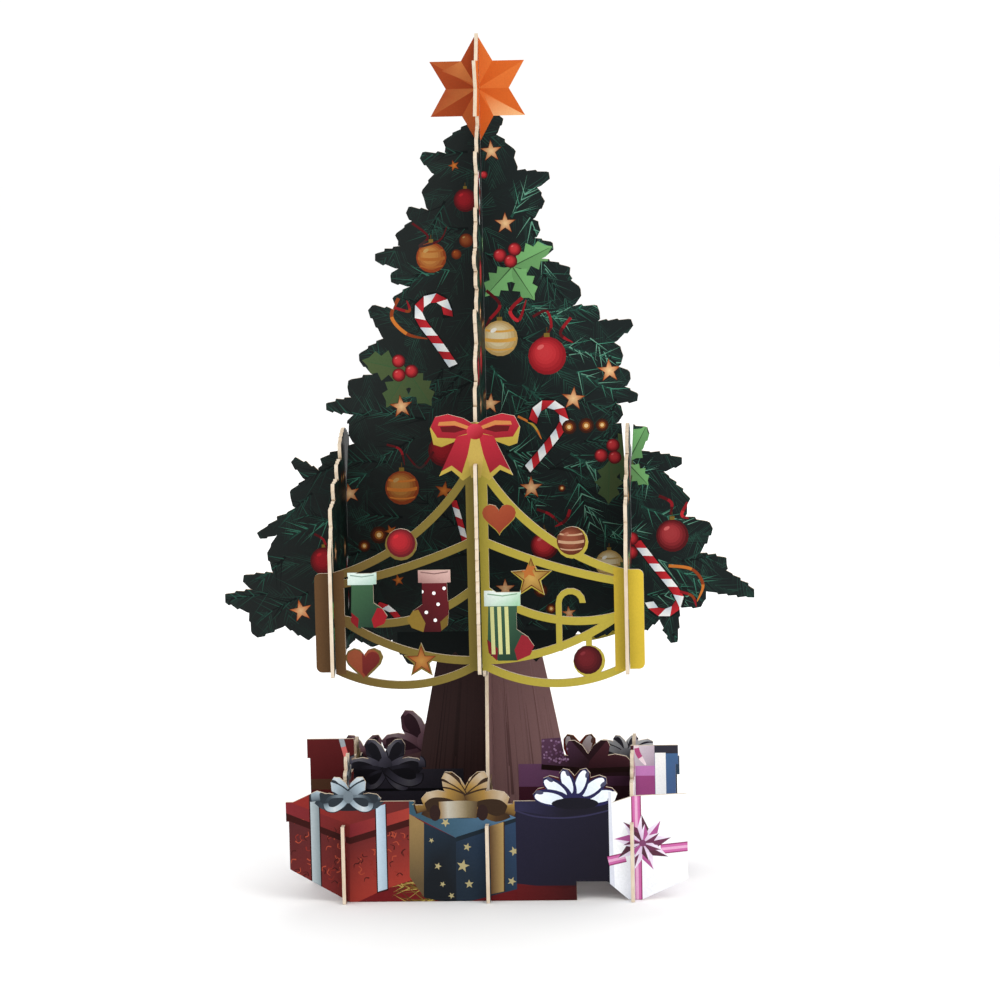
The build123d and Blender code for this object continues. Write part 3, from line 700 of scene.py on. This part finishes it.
def garland_side(flip, shade_on_left):
    """Either side of a garland; flip is -1 where its ornaments are seen the other way round. Where the left
    is shaded, the left half and the left tab are painted darker: painted shade.
    """
    face = Print(fade("9d8e38", "ab9b3c", (4, 90), (34, 90)))

    def at(across, height):
        return (flip * across, height)

    # The left half, painted darker and browner towards its end: painted shade.
    if shade_on_left:
        face.field(box(-45, 0.2, 55, 130), fade("5c4826", "77682f", (-36, 90), (-6, 90)))
    for side in (-1, 1):
        # The left tab, bent back, painted dark brown where the left is shaded: painted shade.
        tone = "5e432a" if shade_on_left and side < 0 else "d6b83c"
        face.field(box(*sorted((side * 37.2, side * 42)), 61, 87),
                   fade(tone, mixed(tone, bronze, 0.12), (0, 87), (0, 61)))
        # The strip beside each vane is painted darker: painted shade next to the vane.
        face.field(box(*sorted((side * 33.6, side * 36.4)), 61, 87), mixed(tone, bronze, 0.3))

    face.ball(at(-19.1, 93.9), 3.6, "5c171c", "9c2128", scarlet, cap=False)
    face.small_star(at(-14.7, 64.2), 3.6, 0.0, rust, "a87a3c")
    face.field(heart_points(at(-29.3, 64.2), 4.1), fade("84442c", "7a3322", at(-31, 66), at(-28, 60)))
    face.field([point for point in heart_points(at(-28.7, 64.0), 3.6) if flip * point[0] > -29.6],
               fade("6a2420", "561a1a", at(-29, 66), at(-27, 60)))
    stocking(face, at(-29.1, 86.35), 13.5, flip, ("3a5c40", "22392b"), ("d4e2da", "a4c0b2"), crimson)
    stocking(face, at(-11.0, 87.0), 15.5, -flip, ("5e1a20", "3a1014"), ("c8a49c", "94706a"), old_gold)
    for spot in ((-14.2, 81.6), (-11.2, 81.2), (-8.6, 82.4), (-10.2, 78.4), (-13.2, 76.4), (-11, 74.4)):
        face.field(oval(at(*spot), 0.45, 0.45, sides=10), white)

    face.field(heart_points(at(5.5, 100.1), 4.2), fade("a24e30", "823422", at(2, 104), at(8, 96)))
    face.ball(at(23.3, 93.9), 3.6, "58291a", "7a3e2a", "a06a54", stripe="b08a6c", cap=False)
    face.small_star(at(13.2, 84.8), 4.6, 0.0, "84652a", "b8924c")
    face.field(star_points(at(12.4, 86.6), 2.4, 1.1, 5, 0.2), "a8622e")
    stocking(face, at(5.9, 81.3), 17.0, flip, ("3a5a44", "1f3629"), ("dfe9e2", "96bf9e"), "86202a")
    for across in (3.4, 5.2, 7.0):
        face.ribbon([at(across, 65.6), at(across - 0.2, 77.6)], 0.95, "c3c486")
    face.ball(at(26.9, 63.9), 3.6, "3c1014", "5c171c", "7c2c32", cap=False)

    garland_bow(face)
    return face


def stocking(face, top_middle, length, toe, body, cuff, tip):
    """A hanging stocking; body and cuff are each a light and a dark ink, tip is its toe and heel."""
    def at(points):
        return [(top_middle[0] + toe * x * length, top_middle[1] + z * length) for x, z in points]

    face.field(at([(0.21, -0.18), (0.21, -0.55), (0.37, -0.66), (0.46, -0.8), (0.39, -0.94), (0.2, -1.02),
                   (-0.08, -1.02), (-0.21, -0.9), (-0.23, -0.72), (-0.21, -0.18)]),
               fade(*body, at([(-0.2, -0.3)])[0], at([(0.3, -0.9)])[0]))
    face.field(at([(0.27, -0.64), (0.37, -0.66), (0.46, -0.8), (0.39, -0.94), (0.2, -1.02),
                   (0.16, -0.86)]), tip)
    face.field(at([(-0.24, -0.7), (-0.22, -0.9), (-0.1, -1.02), (-0.08, -0.84)]), mixed(tip, black, 0.3))
    face.field(at([(0.27, 0.02), (0.27, -0.21), (-0.27, -0.21), (-0.27, 0.02)]),
               fade(*cuff, at([(0, 0)])[0], at([(0.1, -0.2)])[0]))
    face.ribbon(at([(-0.22, -0.03), (0.0, -0.06), (0.22, -0.03)]), 0.3, mixed(cuff[1], black, 0.35))


def garland_bow(face):
    """The red bow, edged with gold, with a gold tail down its middle."""
    knot = (0.0, 121.5)

    def at(points, side):
        return [(knot[0] + side * x, knot[1] + z) for x, z in points]

    for side in (-1, 1):
        crest = [(0, 1.5), (2.8, 3.4), (6.7, 4.6), (9.9, 3.9)]
        face.field(at(crest + [(11.4, 0.9), (10.6, -3.3), (8.4, -3.9), (4.5, -2.3), (0, -1.6)], side),
                   fade("b8a448", "a28a38", (0, 126), (0, 117)))
        face.field(at(crest + [(11.0, 1.2), (9.4, -1.4), (5.0, -1.7), (0, -1.4)], side),
                   fade("ad2a36", "861a26", (0, 126), (0, 119)))
        face.field(at([(1.2, 1.2), (5, 2.7), (8.9, 2.5), (9.2, 1.6), (5, 1.6), (1.4, 0.4)], side), "bd7a44")
        face.field(at([(2.2, 0.6), (5.2, 1.5), (8.7, 1.3), (8.2, 0.0), (5, -0.2)], side), "5c1418")
        tail = [(0, 0), (4.6, -1.2), (9.4, -11.2), (6.0, -9.8), (3.3, -12.2), (0, -10)]
        face.field(at(tail, side), "ac9642")
        face.field(at([(0.6, -0.4), (4.6, -1.2), (9.0, -10.0), (6.0, -8.4), (3.5, -10.4), (1.7, -5)], side),
                   fade("ad2836", "841a26", (0, 121), (side * 5, 110)))
    face.field(at([(-0.9, -1), (0.9, -1), (2.0, -6), (1.2, -11.5), (-1.2, -11.5), (-2.0, -6)], 1), "b49a4c")
    face.field(oval(knot, 2.1, 2.0), fade("c03848", crimson, (-1, 123), (1, 120)))


def front_gifts(loop):
    """The row of gifts that the photograph shows."""
    chance = random.Random(31)
    face = Print(fade("66181b", "300e0f", (0, 2), (22, 2)))
    for root, heading in (((-14.0, 2.6), 0.95 * pi), ((-13.0, 0.6), 1.02 * pi), ((-16.0, 3.0), 0.8 * pi)):
        face.twig(root, heading, 9.0, ["6a5826", "a4924a", "453818"], chance)
    red_lidded_gift(face, chance)
    starry_gift(face)
    navy_gift(face)
    white_gift_with_star_bow(face)
    return face


def red_lidded_gift(face, chance):
    """A red gift seen on its corner: lid, two sides, sprigs, silver ribbon and bow."""
    face.field([(-52, 30), (-52, 26), (-35.2, 20.1), (-18, 24.6), (-18, 30)],
               fade("852824", "5a2423", (-48, 27), (-22, 26)))
    face.field([(-51.9, 26.6), (-35.2, 20.1), (-35.3, 16.7), (-51.9, 23.4)],
               fade("76262c", "67221e", (-50, 26), (-36, 18)))
    face.field([(-35.2, 20.1), (-18, 24.8), (-18, 21.9), (-35.3, 16.7)],
               fade("74242a", "9c3a30", (-34, 18), (-19, 23)))
    face.field([(-51.9, 23.4), (-35.3, 16.7), (-35.7, -1), (-51.9, 8)],
               fade("4c2325", "6c2523", (-50, 22), (-40, 4)))
    face.field([(-35.3, 16.7), (-18.6, 21.7), (-19.6, 5.6), (-27.2, 3.0), (-35.7, -1)],
               fade("5c2324", "96352b", (-31, 18), (-27, 4)))
    gold_sprigs(face, chance, [(-50, -37, 5, 20, 0.42), (-34, -20, 5, 17, -0.3)])
    face.field([(-35.3, 16.7), (-35.3, 15.0), (-51.9, 21.6), (-51.9, 23.4)], "34110f")
    face.field([(-35.3, 16.7), (-35.3, 15.0), (-18.6, 20.0), (-18.6, 21.8)], "3a1311")
    for left, right, top, slope, light, dark in (
        (-45.2, -43.0, 27.8, -0.36, "a9b4b8", "7c888c"),
        (-28.4, -26.0, 24.6, 0.3, "bccfdc", "9eb2c2"),
    ):
        rise = slope * (right - left)
        face.field([(left - 0.3, 2.2), (right + 0.3, 2.2 + rise), (right + 0.3, top + rise),
                    (left - 0.3, top)], "33100f")
        face.field([(left, 2.6), (right, 2.6 + rise), (right, top + rise), (left, top)],
                   fade(light, dark, (left, 0), (right, 0)))
    knot = (-35.4, 27.2)
    face.field(oval((-35.4, 26.2), 8.4, 2.6), "1f2228")
    loops = [((-33.0, 33.2), 0.75), ((-37.4, 33.4), -0.8), ((-29.2, 31.8), 0.7), ((-41.2, 31.8), -0.7),
             ((-26.4, 27.6), 0.75), ((-44.0, 27.4), -0.75), ((-29.6, 25.0), -0.6), ((-41.2, 25.0), 0.6)]
    for tip, fat in loops:
        face.satin_loop(knot, tip, fat, "98a8b2", "39424a")
    face.field(oval(knot, 1.3, 1.6), "6c7880")


def starry_gift(face):
    """A blue gift with stars, gold ribbon and a large gold bow."""
    face.field([(-19.9, 28), (-19.9, 22.7), (-8.1, 16.4), (8.6, 21.4), (8.6, 28)],
               fade("33505f", "4f6e8a", (-14, 20), (8, 26)))
    face.field([(-19.9, 22.7), (-16.2, 20.4), (-16.6, 1.0), (-20.2, 6.4)],
               fade("8c7349", "5a4b34", (-18, 20), (-18, 5)))
    face.field([(-16.2, 20.4), (-8.1, 16.4), (-8.4, -1), (-16.7, 1.0)],
               fade("202e3c", "181c21", (-15, 20), (-12, 10)))
    face.field([(-8.1, 16.4), (8.5, 21.6), (8.2, 3.2), (-8.4, -1)],
               fade("1f2a36", "2a3e58", (-6, 8), (8, 18)))
    face.field([(-8.1, 16.6), (8.5, 21.8), (8.5, 20.8), (-8.1, 15.4)], "1a242c")
    stars = [(-10.7, 20.4, 1.2), (-5.3, 14.0, 1.1), (-6.5, 9.1, 1.7), (-12.9, 9.1, 1.0), (-5.0, 4.4, 1.2),
             (-9.6, 1.4, 0.9), (6.6, 12.8, 1.3), (5.9, 5.0, 1.2), (-18.2, 25.4, 1.0), (-14.4, 15.8, 0.7),
             (6.8, 23.4, 0.9), (-11.8, 4.4, 0.8)]
    for across, height, size in stars:
        face.field(star_points((across, height), size, 0.42 * size, 5, across), "a99d72")
    face.field([(-0.4, 19.0), (4.4, 20.6), (4.1, 2.4), (-0.8, 1.4)], "382618")
    face.field([(0.0, 19.2), (4.1, 20.4), (3.8, 2.4), (-0.4, 1.5)],
               fade("5c3c2c", "a68a56", (0, 0), (3.6, 0)))
    knot, light, dark = (-5.4, 26.0), "97763c", "46311e"
    face.field(oval((-5.4, 24.6), 9.4, 3.2), "2a1c14")
    loops = [((-5.2, 34.2), -0.45), ((-1.4, 33.8), 0.55), ((-9.6, 34.0), -0.55), ((2.2, 32.2), 0.55),
             ((-13.4, 32.0), -0.5), ((5.2, 28.8), 0.5), ((-16.4, 28.8), -0.5), ((-17.2, 24.4), -0.6),
             ((6.4, 23.4), 0.6)]
    for tip, fat in loops:
        face.satin_loop(knot, tip, fat, light, dark)
    face.ribbon([(-12.2, 23.6), (-10, 23.7), (-7.4, 23.8), (-5, 23.8), (-2.6, 23.6)], 4.4,
                "8a6a3c", "b4aea0", "a0947c", "786a4e", "54422e")
    for opening in (-13.3, -1.2):
        face.field(oval((opening, 22.9), 1.4, 2.1), "2c1c1a")


def navy_gift(face):
    """A dark blue gift whose bow has white petals."""
    face.field(box(7.2, 31.2, 3.8, 27), fade("201e30", "181620", (10, 20), (30, 6)))
    face.field([(7.0, 23.4), (18.7, 21.4), (31.2, 23.2), (31.2, 27), (7.0, 27)],
               fade("1b1924", "2a2842", (20, 23), (9, 25)))
    face.ribbon(smooth([(7.0, 23.4), (12, 21.8), (18.7, 21.3), (25, 21.8), (31.2, 23.2)]), 0.4, "302e48")
    face.field([(7.2, 4.4), (19, 3.0), (30, 4.6), (30, -1), (7.2, -1)],
               fade("581719", "341112", (8, 2), (24, 2)))
    face.petal_bow(22.4, 25.4, 22.0, 8.8, 6, "eef4fa", "c9d6e4", "25244a")
    face.field(oval((22.4, 25.0), 6.0, 1.5), "17161f")


def white_gift_with_star_bow(face):
    """A white gift with pink ribbons that cross under a star of folded ribbon."""
    face.field(box(30.9, 52, 0, 28), fade(white, "eceef4", (36, 27), (50, 4)))
    face.field([(30.9, 0), (32.2, 0), (31.6, 28), (30.9, 28)], "d5d8e2")
    ties = [[(37.9, 27.6), (37.9, 18)], [(37.9, 11), (37.9, 0)],
            [(30.6, 10.0), (35, 11)], [(44, 13), (52, 13.8)]]
    for path in ties:
        for width, tone in ((2.5, "8e3464"), (1.9, "c566a0"), (0.7, "dea8c8")):
            face.ribbon(path, width, tone)
    root = (39.4, 14.6)
    for reach, spikes, turn in ((7.4, 9, 0.2), (5.0, 7, 0.55)):
        for spike in range(spikes):
            heading = tau * spike / spikes + turn
            tip = polar(root, reach, heading)
            shade = ("6a3450", "a8548c", "55303f")[spike % 3]
            face.field([root, polar(root, 0.55 * reach, heading - 0.42), tip], shade)
            face.field([root, tip, polar(root, 0.5 * reach, heading + 0.36)],
                       fade("c9a8c8", "f0eaf4", root, tip))
    face.field(oval(root, 0.9, 0.9), "7c4468")


def gold_sprigs(face, chance, plots):
    """Small curled sprigs over each plot of wrapping paper: left, right, foot, top and slope."""
    for left, right, foot, top, slope in plots:
        for sprig in range(sprigs_a_plot):
            across = chance.uniform(left, right)
            height = chance.uniform(foot, top) - slope * (across - (left + right) / 2)
            turn = chance.uniform(0, tau)
            tone = chance.choice(["3f1614", "a04430", "7e2a22"])
            middle = polar((across, height), 1.0, turn)
            path = smooth([(across, height), middle, polar(middle, 1.1, turn + 1.3)], 3)
            face.ribbon(path, 0.35, tone, tip_width=0.12)


def gift_row(side, gifts, bows):
    """A row of gifts seen flat on; side is -1 where it is seen the other way round."""
    chance = random.Random(43)
    face = Print("7c1c1c")
    for left, right, top, wrapping in gifts:
        face.gift(*sorted((side * left, side * right)), top, *wrapping, chance)
    for middle, base, width, rise, petals, light, dark in bows:
        face.fan_bow(side * middle, base, width, rise, light, dark, petals)
    return face


def front_gifts_from_behind(loop):
    """The backs of the gifts in the front row."""
    gifts = [(-52, -19, 27, red_paper), (-19, 7.5, 24.4, blue_paper),
             (7.5, 31, 25.5, navy_paper), (31, 52, 27, white_paper)]
    bows = [(-35.3, 25.0, 17.0, 8.2, 4, silver, steel), (-5.5, 24.4, 23.1, 10.0, 4, "a5823f", "4c3520"),
            (22.4, 25.5, 22.0, 8.8, 6, ice, navy)]
    return gift_row(-1, gifts, bows)


def back_gifts(side):
    """Either side of the back row of gifts; side is -1 where it is seen the other way round."""
    gifts = [(-52, -27.6, 27, grey_paper), (-27.6, -1.5, 31, wine_paper),
             (-1.5, 19.1, 26, green_paper), (19.1, 52, 28, blue_paper)]
    bows = [(-36.1, 26.5, 18.7, 9.0, 4, "6e4d58", "2b1b22"), (-19.5, 30.4, 24.0, 12.0, 4, "8a6874", "5a3a46"),
            (34.2, 27.6, 20.0, 6.5, 6, "9c9ea2", "413f4a")]
    face = gift_row(side, gifts, bows)
    face.petal_bow(side * 21.9, 25.5, 15.0, 9.7, 4, "dcd6da", "8a4a22", "5a3424")
    return face


def gift_vane_side(seed, left_paper, right_paper):
    """One side of a gift vane: a gift in each of two papers, with its bow."""
    chance = random.Random(seed)
    face = Print("6a1a1a")
    for side, (paper, shade, tie) in ((-1, left_paper), (1, right_paper)):
        face.gift(*sorted((side * 28.5, 0)), 30, paper, shade, tie, chance)
        face.fan_bow(side * 12.0, 29.5, 13.0, 6.5, tie, mixed(tie, black, 0.65))
    return face


def outlines(node, out):
    """Closed outlines of a sheet's side that faces out, in millimetres, the outermost first."""
    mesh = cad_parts[node].data
    across = up.cross(out)
    level = max(vertex.co.dot(out) for vertex in mesh.vertices)
    spots = {}
    for vertex in mesh.vertices:
        if vertex.co.dot(out) > level - 0.01 * mm:
            spots[vertex.index] = (round(vertex.co.dot(across) / mm, 4), round(vertex.co.z / mm, 4))
    edges = {}
    for polygon in mesh.polygons:
        corners = [spots.get(vertex) for vertex in polygon.vertices]
        if None not in corners:
            edges.update(dict.fromkeys(zip(corners, corners[1:] + corners[:1])))
    following = {start: end for start, end in edges if (end, start) not in edges}
    loops = []
    while following:
        loop = []
        point = next(iter(following))
        while point in following:
            loop.append(point)
            point = following.pop(point)
        if abs(area(loop)) > 0.01:
            loops.append(loop)
    return sorted(loops, key=lambda loop: abs(area(loop)), reverse=True)


class Side:
    """One side of a sheet, cut into triangles along its outline and its print."""

    def __init__(self, loops, face):
        shapes = [loop if area(loop) > 0 else loop[::-1] for loop in loops]
        shapes += [points for points, colour in face.fields]
        points, polygons = [], []
        for shape in shapes:
            polygons.append(list(range(len(points), len(points) + len(shape))))
            points += shape
        cut = delaunay_2d_cdt([Vector(point) for point in points], [], polygons, 1, 1e-5, True)
        self.points = [tuple(point) for point in cut[0]]
        self.triangles = []
        self.inks = []
        for triangle, cover in zip(cut[2], cut[5]):
            if 0 in cover and not any(0 < shape < len(loops) for shape in cover):
                top = max(cover)
                bare = top < len(loops)
                colour = face.ground if bare else face.fields[top - len(loops)][1]
                middle = sum(self.points[corner][0] for corner in triangle) / 3
                needles = face.needles_at(middle) if bare else 0.0
                self.triangles.append(tuple(triangle))
                for corner in triangle:
                    tone = colour(*self.points[corner]) if callable(colour) else colour
                    self.inks.append((*tone, needles))
        self.corner = {}
        for place, sources in enumerate(cut[3]):
            for source in sources:
                self.corner[points[source]] = place
        edges = {}
        for a, b, c in self.triangles:
            edges.update({(a, b): None, (b, c): None, (c, a): None})
        self.following = {start: end for start, end in edges if (end, start) not in edges}

    def run(self, start, end):
        """Corners along the cut edge from one outline point to the next."""
        corners = [self.corner[start]]
        while corners[-1] != self.corner[end]:
            corners.append(self.following[corners[-1]])
        return corners


def put(name, data):
    """A new object in the scene."""
    thing = bpy.data.objects.new(name, data)
    scene.collection.objects.link(thing)
    return thing


def card_sheet(node, draw_near, draw_far, slot):
    """A printed sheet that stands for its CAD node; near is the side to the front or to the right."""
    low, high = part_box(node)
    out = Vector((0, -1, 0)) if high.y - low.y < high.x - low.x else Vector((1, 0, 0))
    loops = outlines(node, out)
    mirrored = [[(-across, height) for across, height in reversed(loop)] for loop in loops]
    near = Side(loops, draw_near(loops[0]))
    far = Side(mirrored, draw_far(mirrored[0]))

    vertices = []
    for side, normal in ((near, out), (far, -out)):
        across = up.cross(normal)
        level = max(normal.dot(low), normal.dot(high))
        vertices += [across * u * mm + up * v * mm + normal * level for u, v in side.points]
    shift = len(near.points)
    faces = near.triangles + [tuple(corner + shift for corner in triangle) for triangle in far.triangles]
    inks = near.inks + far.inks
    printed = len(faces)
    for loop in loops:
        for start, end in zip(loop, loop[1:] + loop[:1]):
            front = near.run(start, end)
            back = [corner + shift for corner in far.run((-end[0], end[1]), (-start[0], start[1]))]
            faces.append(tuple(front[::-1] + back[::-1]))
            inks += [(*card_white, 0.0)] * len(faces[-1])

    used = sorted({corner for face in faces for corner in face})
    place = {corner: index for index, corner in enumerate(used)}
    mesh = bpy.data.meshes.new(f"printed_{node}")
    mesh.from_pydata([vertices[corner] for corner in used], [],
                     [[place[corner] for corner in face] for face in faces])
    layer = mesh.color_attributes.new("ink", "FLOAT_COLOR", "CORNER")
    layer.data.foreach_set("color", [channel for colour in inks for channel in colour])
    mesh.materials.append(finishes[slot])
    mesh.materials.append(finishes["raw_edge"])
    mesh.polygons.foreach_set("material_index", [0] * printed + [1] * (len(faces) - printed))
    piece = put(f"printed_{node}", mesh)
    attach(piece, "root")
    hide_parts(node)


class Signal:
    """A shader socket with arithmetic: an expression on values adds its Math nodes."""

    def __init__(self, finish, socket):
        self.finish = finish
        self.socket = socket

    def math(self, operation, *others):
        return self.finish.node("ShaderNodeMath", {"operation": operation}, dict(enumerate((self, *others))))

    def output(self, name):
        """Another output of the same node."""
        return Signal(self.finish, self.socket.node.outputs[name])

    def __add__(self, other):
        return self.math("ADD", other)

    __radd__ = __add__

    def __sub__(self, other):
        return self.math("SUBTRACT", other)

    def __rsub__(self, other):
        return self * -1.0 + other

    def __mul__(self, other):
        return self.math("MULTIPLY", other)

    __rmul__ = __mul__

    def __truediv__(self, other):
        return self.math("DIVIDE", other)


class Finish:
    """A material whose nodes are added one call at a time."""

    def __init__(self, name, **constants):
        self.material = bpy.data.materials.new(name)
        self.material.use_nodes = True
        self.tree = self.material.node_tree
        self.surface = self.tree.nodes["Principled BSDF"]
        self.link(self.surface, constants)

    def link(self, node, sockets):
        for name, value in sockets.items():
            socket = node.inputs[name.replace("_", " ") if isinstance(name, str) else name]
            if isinstance(value, Signal):
                self.tree.links.new(value.socket, socket)
            else:
                socket.default_value = value

    def node(self, kind, settings=None, sockets=None, output=0):
        node = self.tree.nodes.new(kind)
        for name, value in (settings or {}).items():
            setattr(node, name, value)
        self.link(node, sockets or {})
        return Signal(self, node.outputs[output])

    def noise(self, scale, detail, stretch=(1, 1, 1)):
        place = self.node("ShaderNodeTexCoord", output="Object")
        place = self.vector("MULTIPLY", place, stretch)
        return self.node("ShaderNodeTexNoise", {}, {"Vector": place, "Scale": scale, "Detail": detail})

    def vector(self, operation, first, second):
        return self.node("ShaderNodeVectorMath", {"operation": operation}, {0: first, 1: second})

    def blend(self, mode, share, first, second):
        settings = {"data_type": "RGBA", "blend_type": mode}
        return self.node("ShaderNodeMix", settings, {0: share, 6: first, 7: second}, output=2)


def fir_needles(finish, under, growth, cell, shift):
    """A layer of printed fir twigs, one in each cell of a pattern, with needles on both sides."""
    spot = finish.node("ShaderNodeSeparateXYZ", {}, {0: finish.node("ShaderNodeTexCoord", output="Object")})
    across = (spot + spot.output("Y")) / mm
    place = finish.node("ShaderNodeCombineXYZ", {}, {0: across + shift, 1: spot.output("Z") / mm + shift})
    bend = finish.node("ShaderNodeTexNoise", {}, {"Vector": place, "Scale": bend_scale, "Detail": 1.0},
                       output="Color")
    place = finish.vector("ADD", place, finish.vector("MULTIPLY", bend, (twig_bend, twig_bend, 0.0)))
    cells = finish.node("ShaderNodeTexVoronoi", {"voronoi_dimensions": "2D"},
                        {"Vector": place, "Scale": 1 / cell}, output="Color")
    luck = finish.node("ShaderNodeSeparateColor", {}, {0: cells})
    local = finish.vector("SUBTRACT", place, cells.output("Position"))
    local = finish.node("ShaderNodeSeparateXYZ", {}, {0: local})
    outward = local * across.math("SIGN")
    heading = twig_swing * luck + twig_lowest
    cosine, sine = heading.math("COSINE"), heading.math("SINE")
    stem = outward * cosine + local.output("Y") * sine
    aside = local.output("Y") * cosine - outward * sine
    lean = least_lean + lean_swing * luck.output("Green")
    row = (stem - lean * aside.math("ABSOLUTE")) / needle_gap + 9.0 * luck.output("Green")
    number = finish.node("ShaderNodeCombineXYZ", {}, {0: row.math("FLOOR"), 1: aside.math("SIGN"), 2: luck})
    draw = finish.node("ShaderNodeTexWhiteNoise", {}, {"Vector": number})
    reach = aside.math("ABSOLUTE") / (0.42 * needle_length * draw)
    needle = row.math("FRACT").math("LESS_THAN", 0.5 - 0.5 * reach)
    near = stem.math("ABSOLUTE").math("LESS_THAN", 0.5 * twig_length)
    tone = finish.blend("MIX", draw * luck.output("Blue"), (*pine, 1), (*mixed(fir, jade, 0.5), 1))
    return finish.blend("MIX", growth * needle * near, under, tone)


def printed_card(name, roughness, bump, twigs=()):
    """Satin coated card: the print with its layers of twigs, a faint grain in the inks and a fine tooth."""
    finish = Finish(name, Coat_Weight=0.02, Coat_Roughness=0.35, Specular_IOR_Level=0.06)
    print_ink = finish.node("ShaderNodeVertexColor", {"layer_name": "ink"})
    growth = print_ink.output("Alpha")
    for cell, shift in twigs:
        print_ink = fir_needles(finish, print_ink, growth, cell, shift)
    grain = finish.noise(2600.0, 2.0)
    mottle = finish.noise(90.0, 3.0)
    tint = 0.86 + 0.2 * grain + 0.08 * mottle
    grey = finish.node("ShaderNodeCombineColor", {}, {0: tint, 1: tint, 2: tint})
    tooth = finish.node("ShaderNodeBump", {}, {"Strength": bump, "Distance": 0.00005, "Height": grain})
    finish.link(finish.surface, {
        "Base Color": finish.blend("MULTIPLY", 1.0, print_ink, grey),
        "Roughness": roughness - 0.08 + 0.16 * mottle,
        "Normal": tooth,
    })
    return finish.material


def raw_edge():
    """The die-cut edge of the board: pale pressed fibres, browner in places."""
    finish = Finish("raw_card_edge", Specular_IOR_Level=0.2)
    fibres = finish.noise(900.0, 4.0, (1, 1, 0.35))
    patches = finish.noise(60.0, 3.0)
    pale = finish.blend("MIX", fibres, (*ink("f6efe2"), 1), (*ink("cdb695"), 1))
    bump = finish.node("ShaderNodeBump", {}, {"Strength": 0.4, "Distance": 0.0001, "Height": fibres})
    finish.link(finish.surface, {
        "Base Color": finish.blend("MIX", 0.5 * patches, pale, (*ink("a8865c"), 1)),
        "Roughness": 0.75 + 0.2 * fibres,
        "Normal": bump,
    })
    return finish.material


finishes = {
    "tree_card": printed_card("printed_tree_card", 0.5, 0.25, twig_layers),
    "garland_card": printed_card("printed_garland_card", 0.4, 0.2),
    "gift_card": printed_card("printed_gift_card", 0.38, 0.2),
    "raw_edge": raw_edge(),
}

card_sheet("main_tree_panel", main_front, main_back, "tree_card")
card_sheet("cross_tree_panel", lambda loop: cross_side(loop, 5, (blue_paper, red_paper)),
           lambda loop: cross_side(loop, 11, (purple_paper, blue_paper)), "tree_card")
card_sheet("left_tree_vane", lambda loop: vane_side(loop, 13), lambda loop: vane_side(loop, 17), "tree_card")
card_sheet("right_tree_vane", lambda loop: vane_side(loop, 23), lambda loop: vane_side(loop, 29), "tree_card")
card_sheet("front_garland", lambda loop: garland_side(1, True),
           lambda loop: garland_side(-1, False), "garland_card")
card_sheet("back_garland", lambda loop: garland_side(-1, False),
           lambda loop: garland_side(1, False), "garland_card")
card_sheet("front_gift_panel", front_gifts, front_gifts_from_behind, "gift_card")
card_sheet("back_gift_panel", lambda loop: back_gifts(1), lambda loop: back_gifts(-1), "gift_card")
card_sheet("left_gift_vane", lambda loop: gift_vane_side(37, red_paper, blue_paper),
           lambda loop: gift_vane_side(41, purple_paper, red_paper), "gift_card")
card_sheet("right_gift_vane", lambda loop: gift_vane_side(47, white_paper, purple_paper),
           lambda loop: gift_vane_side(53, blue_paper, white_paper), "gift_card")


def pale_floor():
    """A plain sweep under and behind the card."""
    mesh = bpy.data.meshes.new("floor")
    reach = 8.0
    corners = [(-reach, -reach, 0), (reach, -reach, 0), (reach, reach, 0), (-reach, reach, 0)]
    mesh.from_pydata(corners, [], [(0, 1, 2, 3)])
    finish = Finish("pale_floor", Specular_IOR_Level=0.1)
    speckle = finish.noise(40.0, 2.0)
    finish.link(finish.surface, {
        "Base Color": finish.blend("MIX", speckle, (0.95, 0.95, 0.95, 1), (0.97, 0.97, 0.97, 1)),
        "Roughness": 0.8 + 0.1 * speckle,
    })
    mesh.materials.append(finish.material)
    floor = put("floor", mesh)
    floor.location.z = -0.1 * mm


def soft_light(name, place, size, power):
    """A round lamp, size across, aimed at the middle of the card."""
    lamp = bpy.data.lights.new(name, "AREA")
    lamp.shape = "DISK"
    lamp.size = size
    lamp.energy = power
    light = put(name, lamp)
    light.location = place
    light.rotation_mode = "QUATERNION"
    light.rotation_quaternion = (card_middle - Vector(place)).to_track_quat("-Z", "Y")


pale_floor()
card_middle = Vector((0, 0, 0.1))
soft_light("key", (0.75, -0.9, 0.85), 0.7, 4.5)
soft_light("fill", (-0.9, -0.8, 0.5), 0.9, 1.0)
soft_light("back", (0.1, 1.0, 0.9), 0.9, 4.0)

world = bpy.data.worlds.new("studio")
world.use_nodes = True
sky = world.node_tree.nodes["Background"].inputs
sky["Color"].default_value = (1.0, 1.0, 1.0, 1)
sky["Strength"].default_value = 1.05
scene.world = world
scene.view_settings.view_transform = "Standard"

camera_roll = radians(-1.26)
camera = put("camera", bpy.data.cameras.new("camera"))
camera.data.lens = 130.2
camera.data.sensor_width = 36.0
camera.location = (0.0613, -0.928, 0.205)
aim = Vector((0.0035, 0, 0.1001)) - camera.location
camera.rotation_mode = "QUATERNION"
camera.rotation_quaternion = aim.to_track_quat("-Z", "Y") @ Quaternion((0, 0, 1), camera_roll)
scene.camera = camera
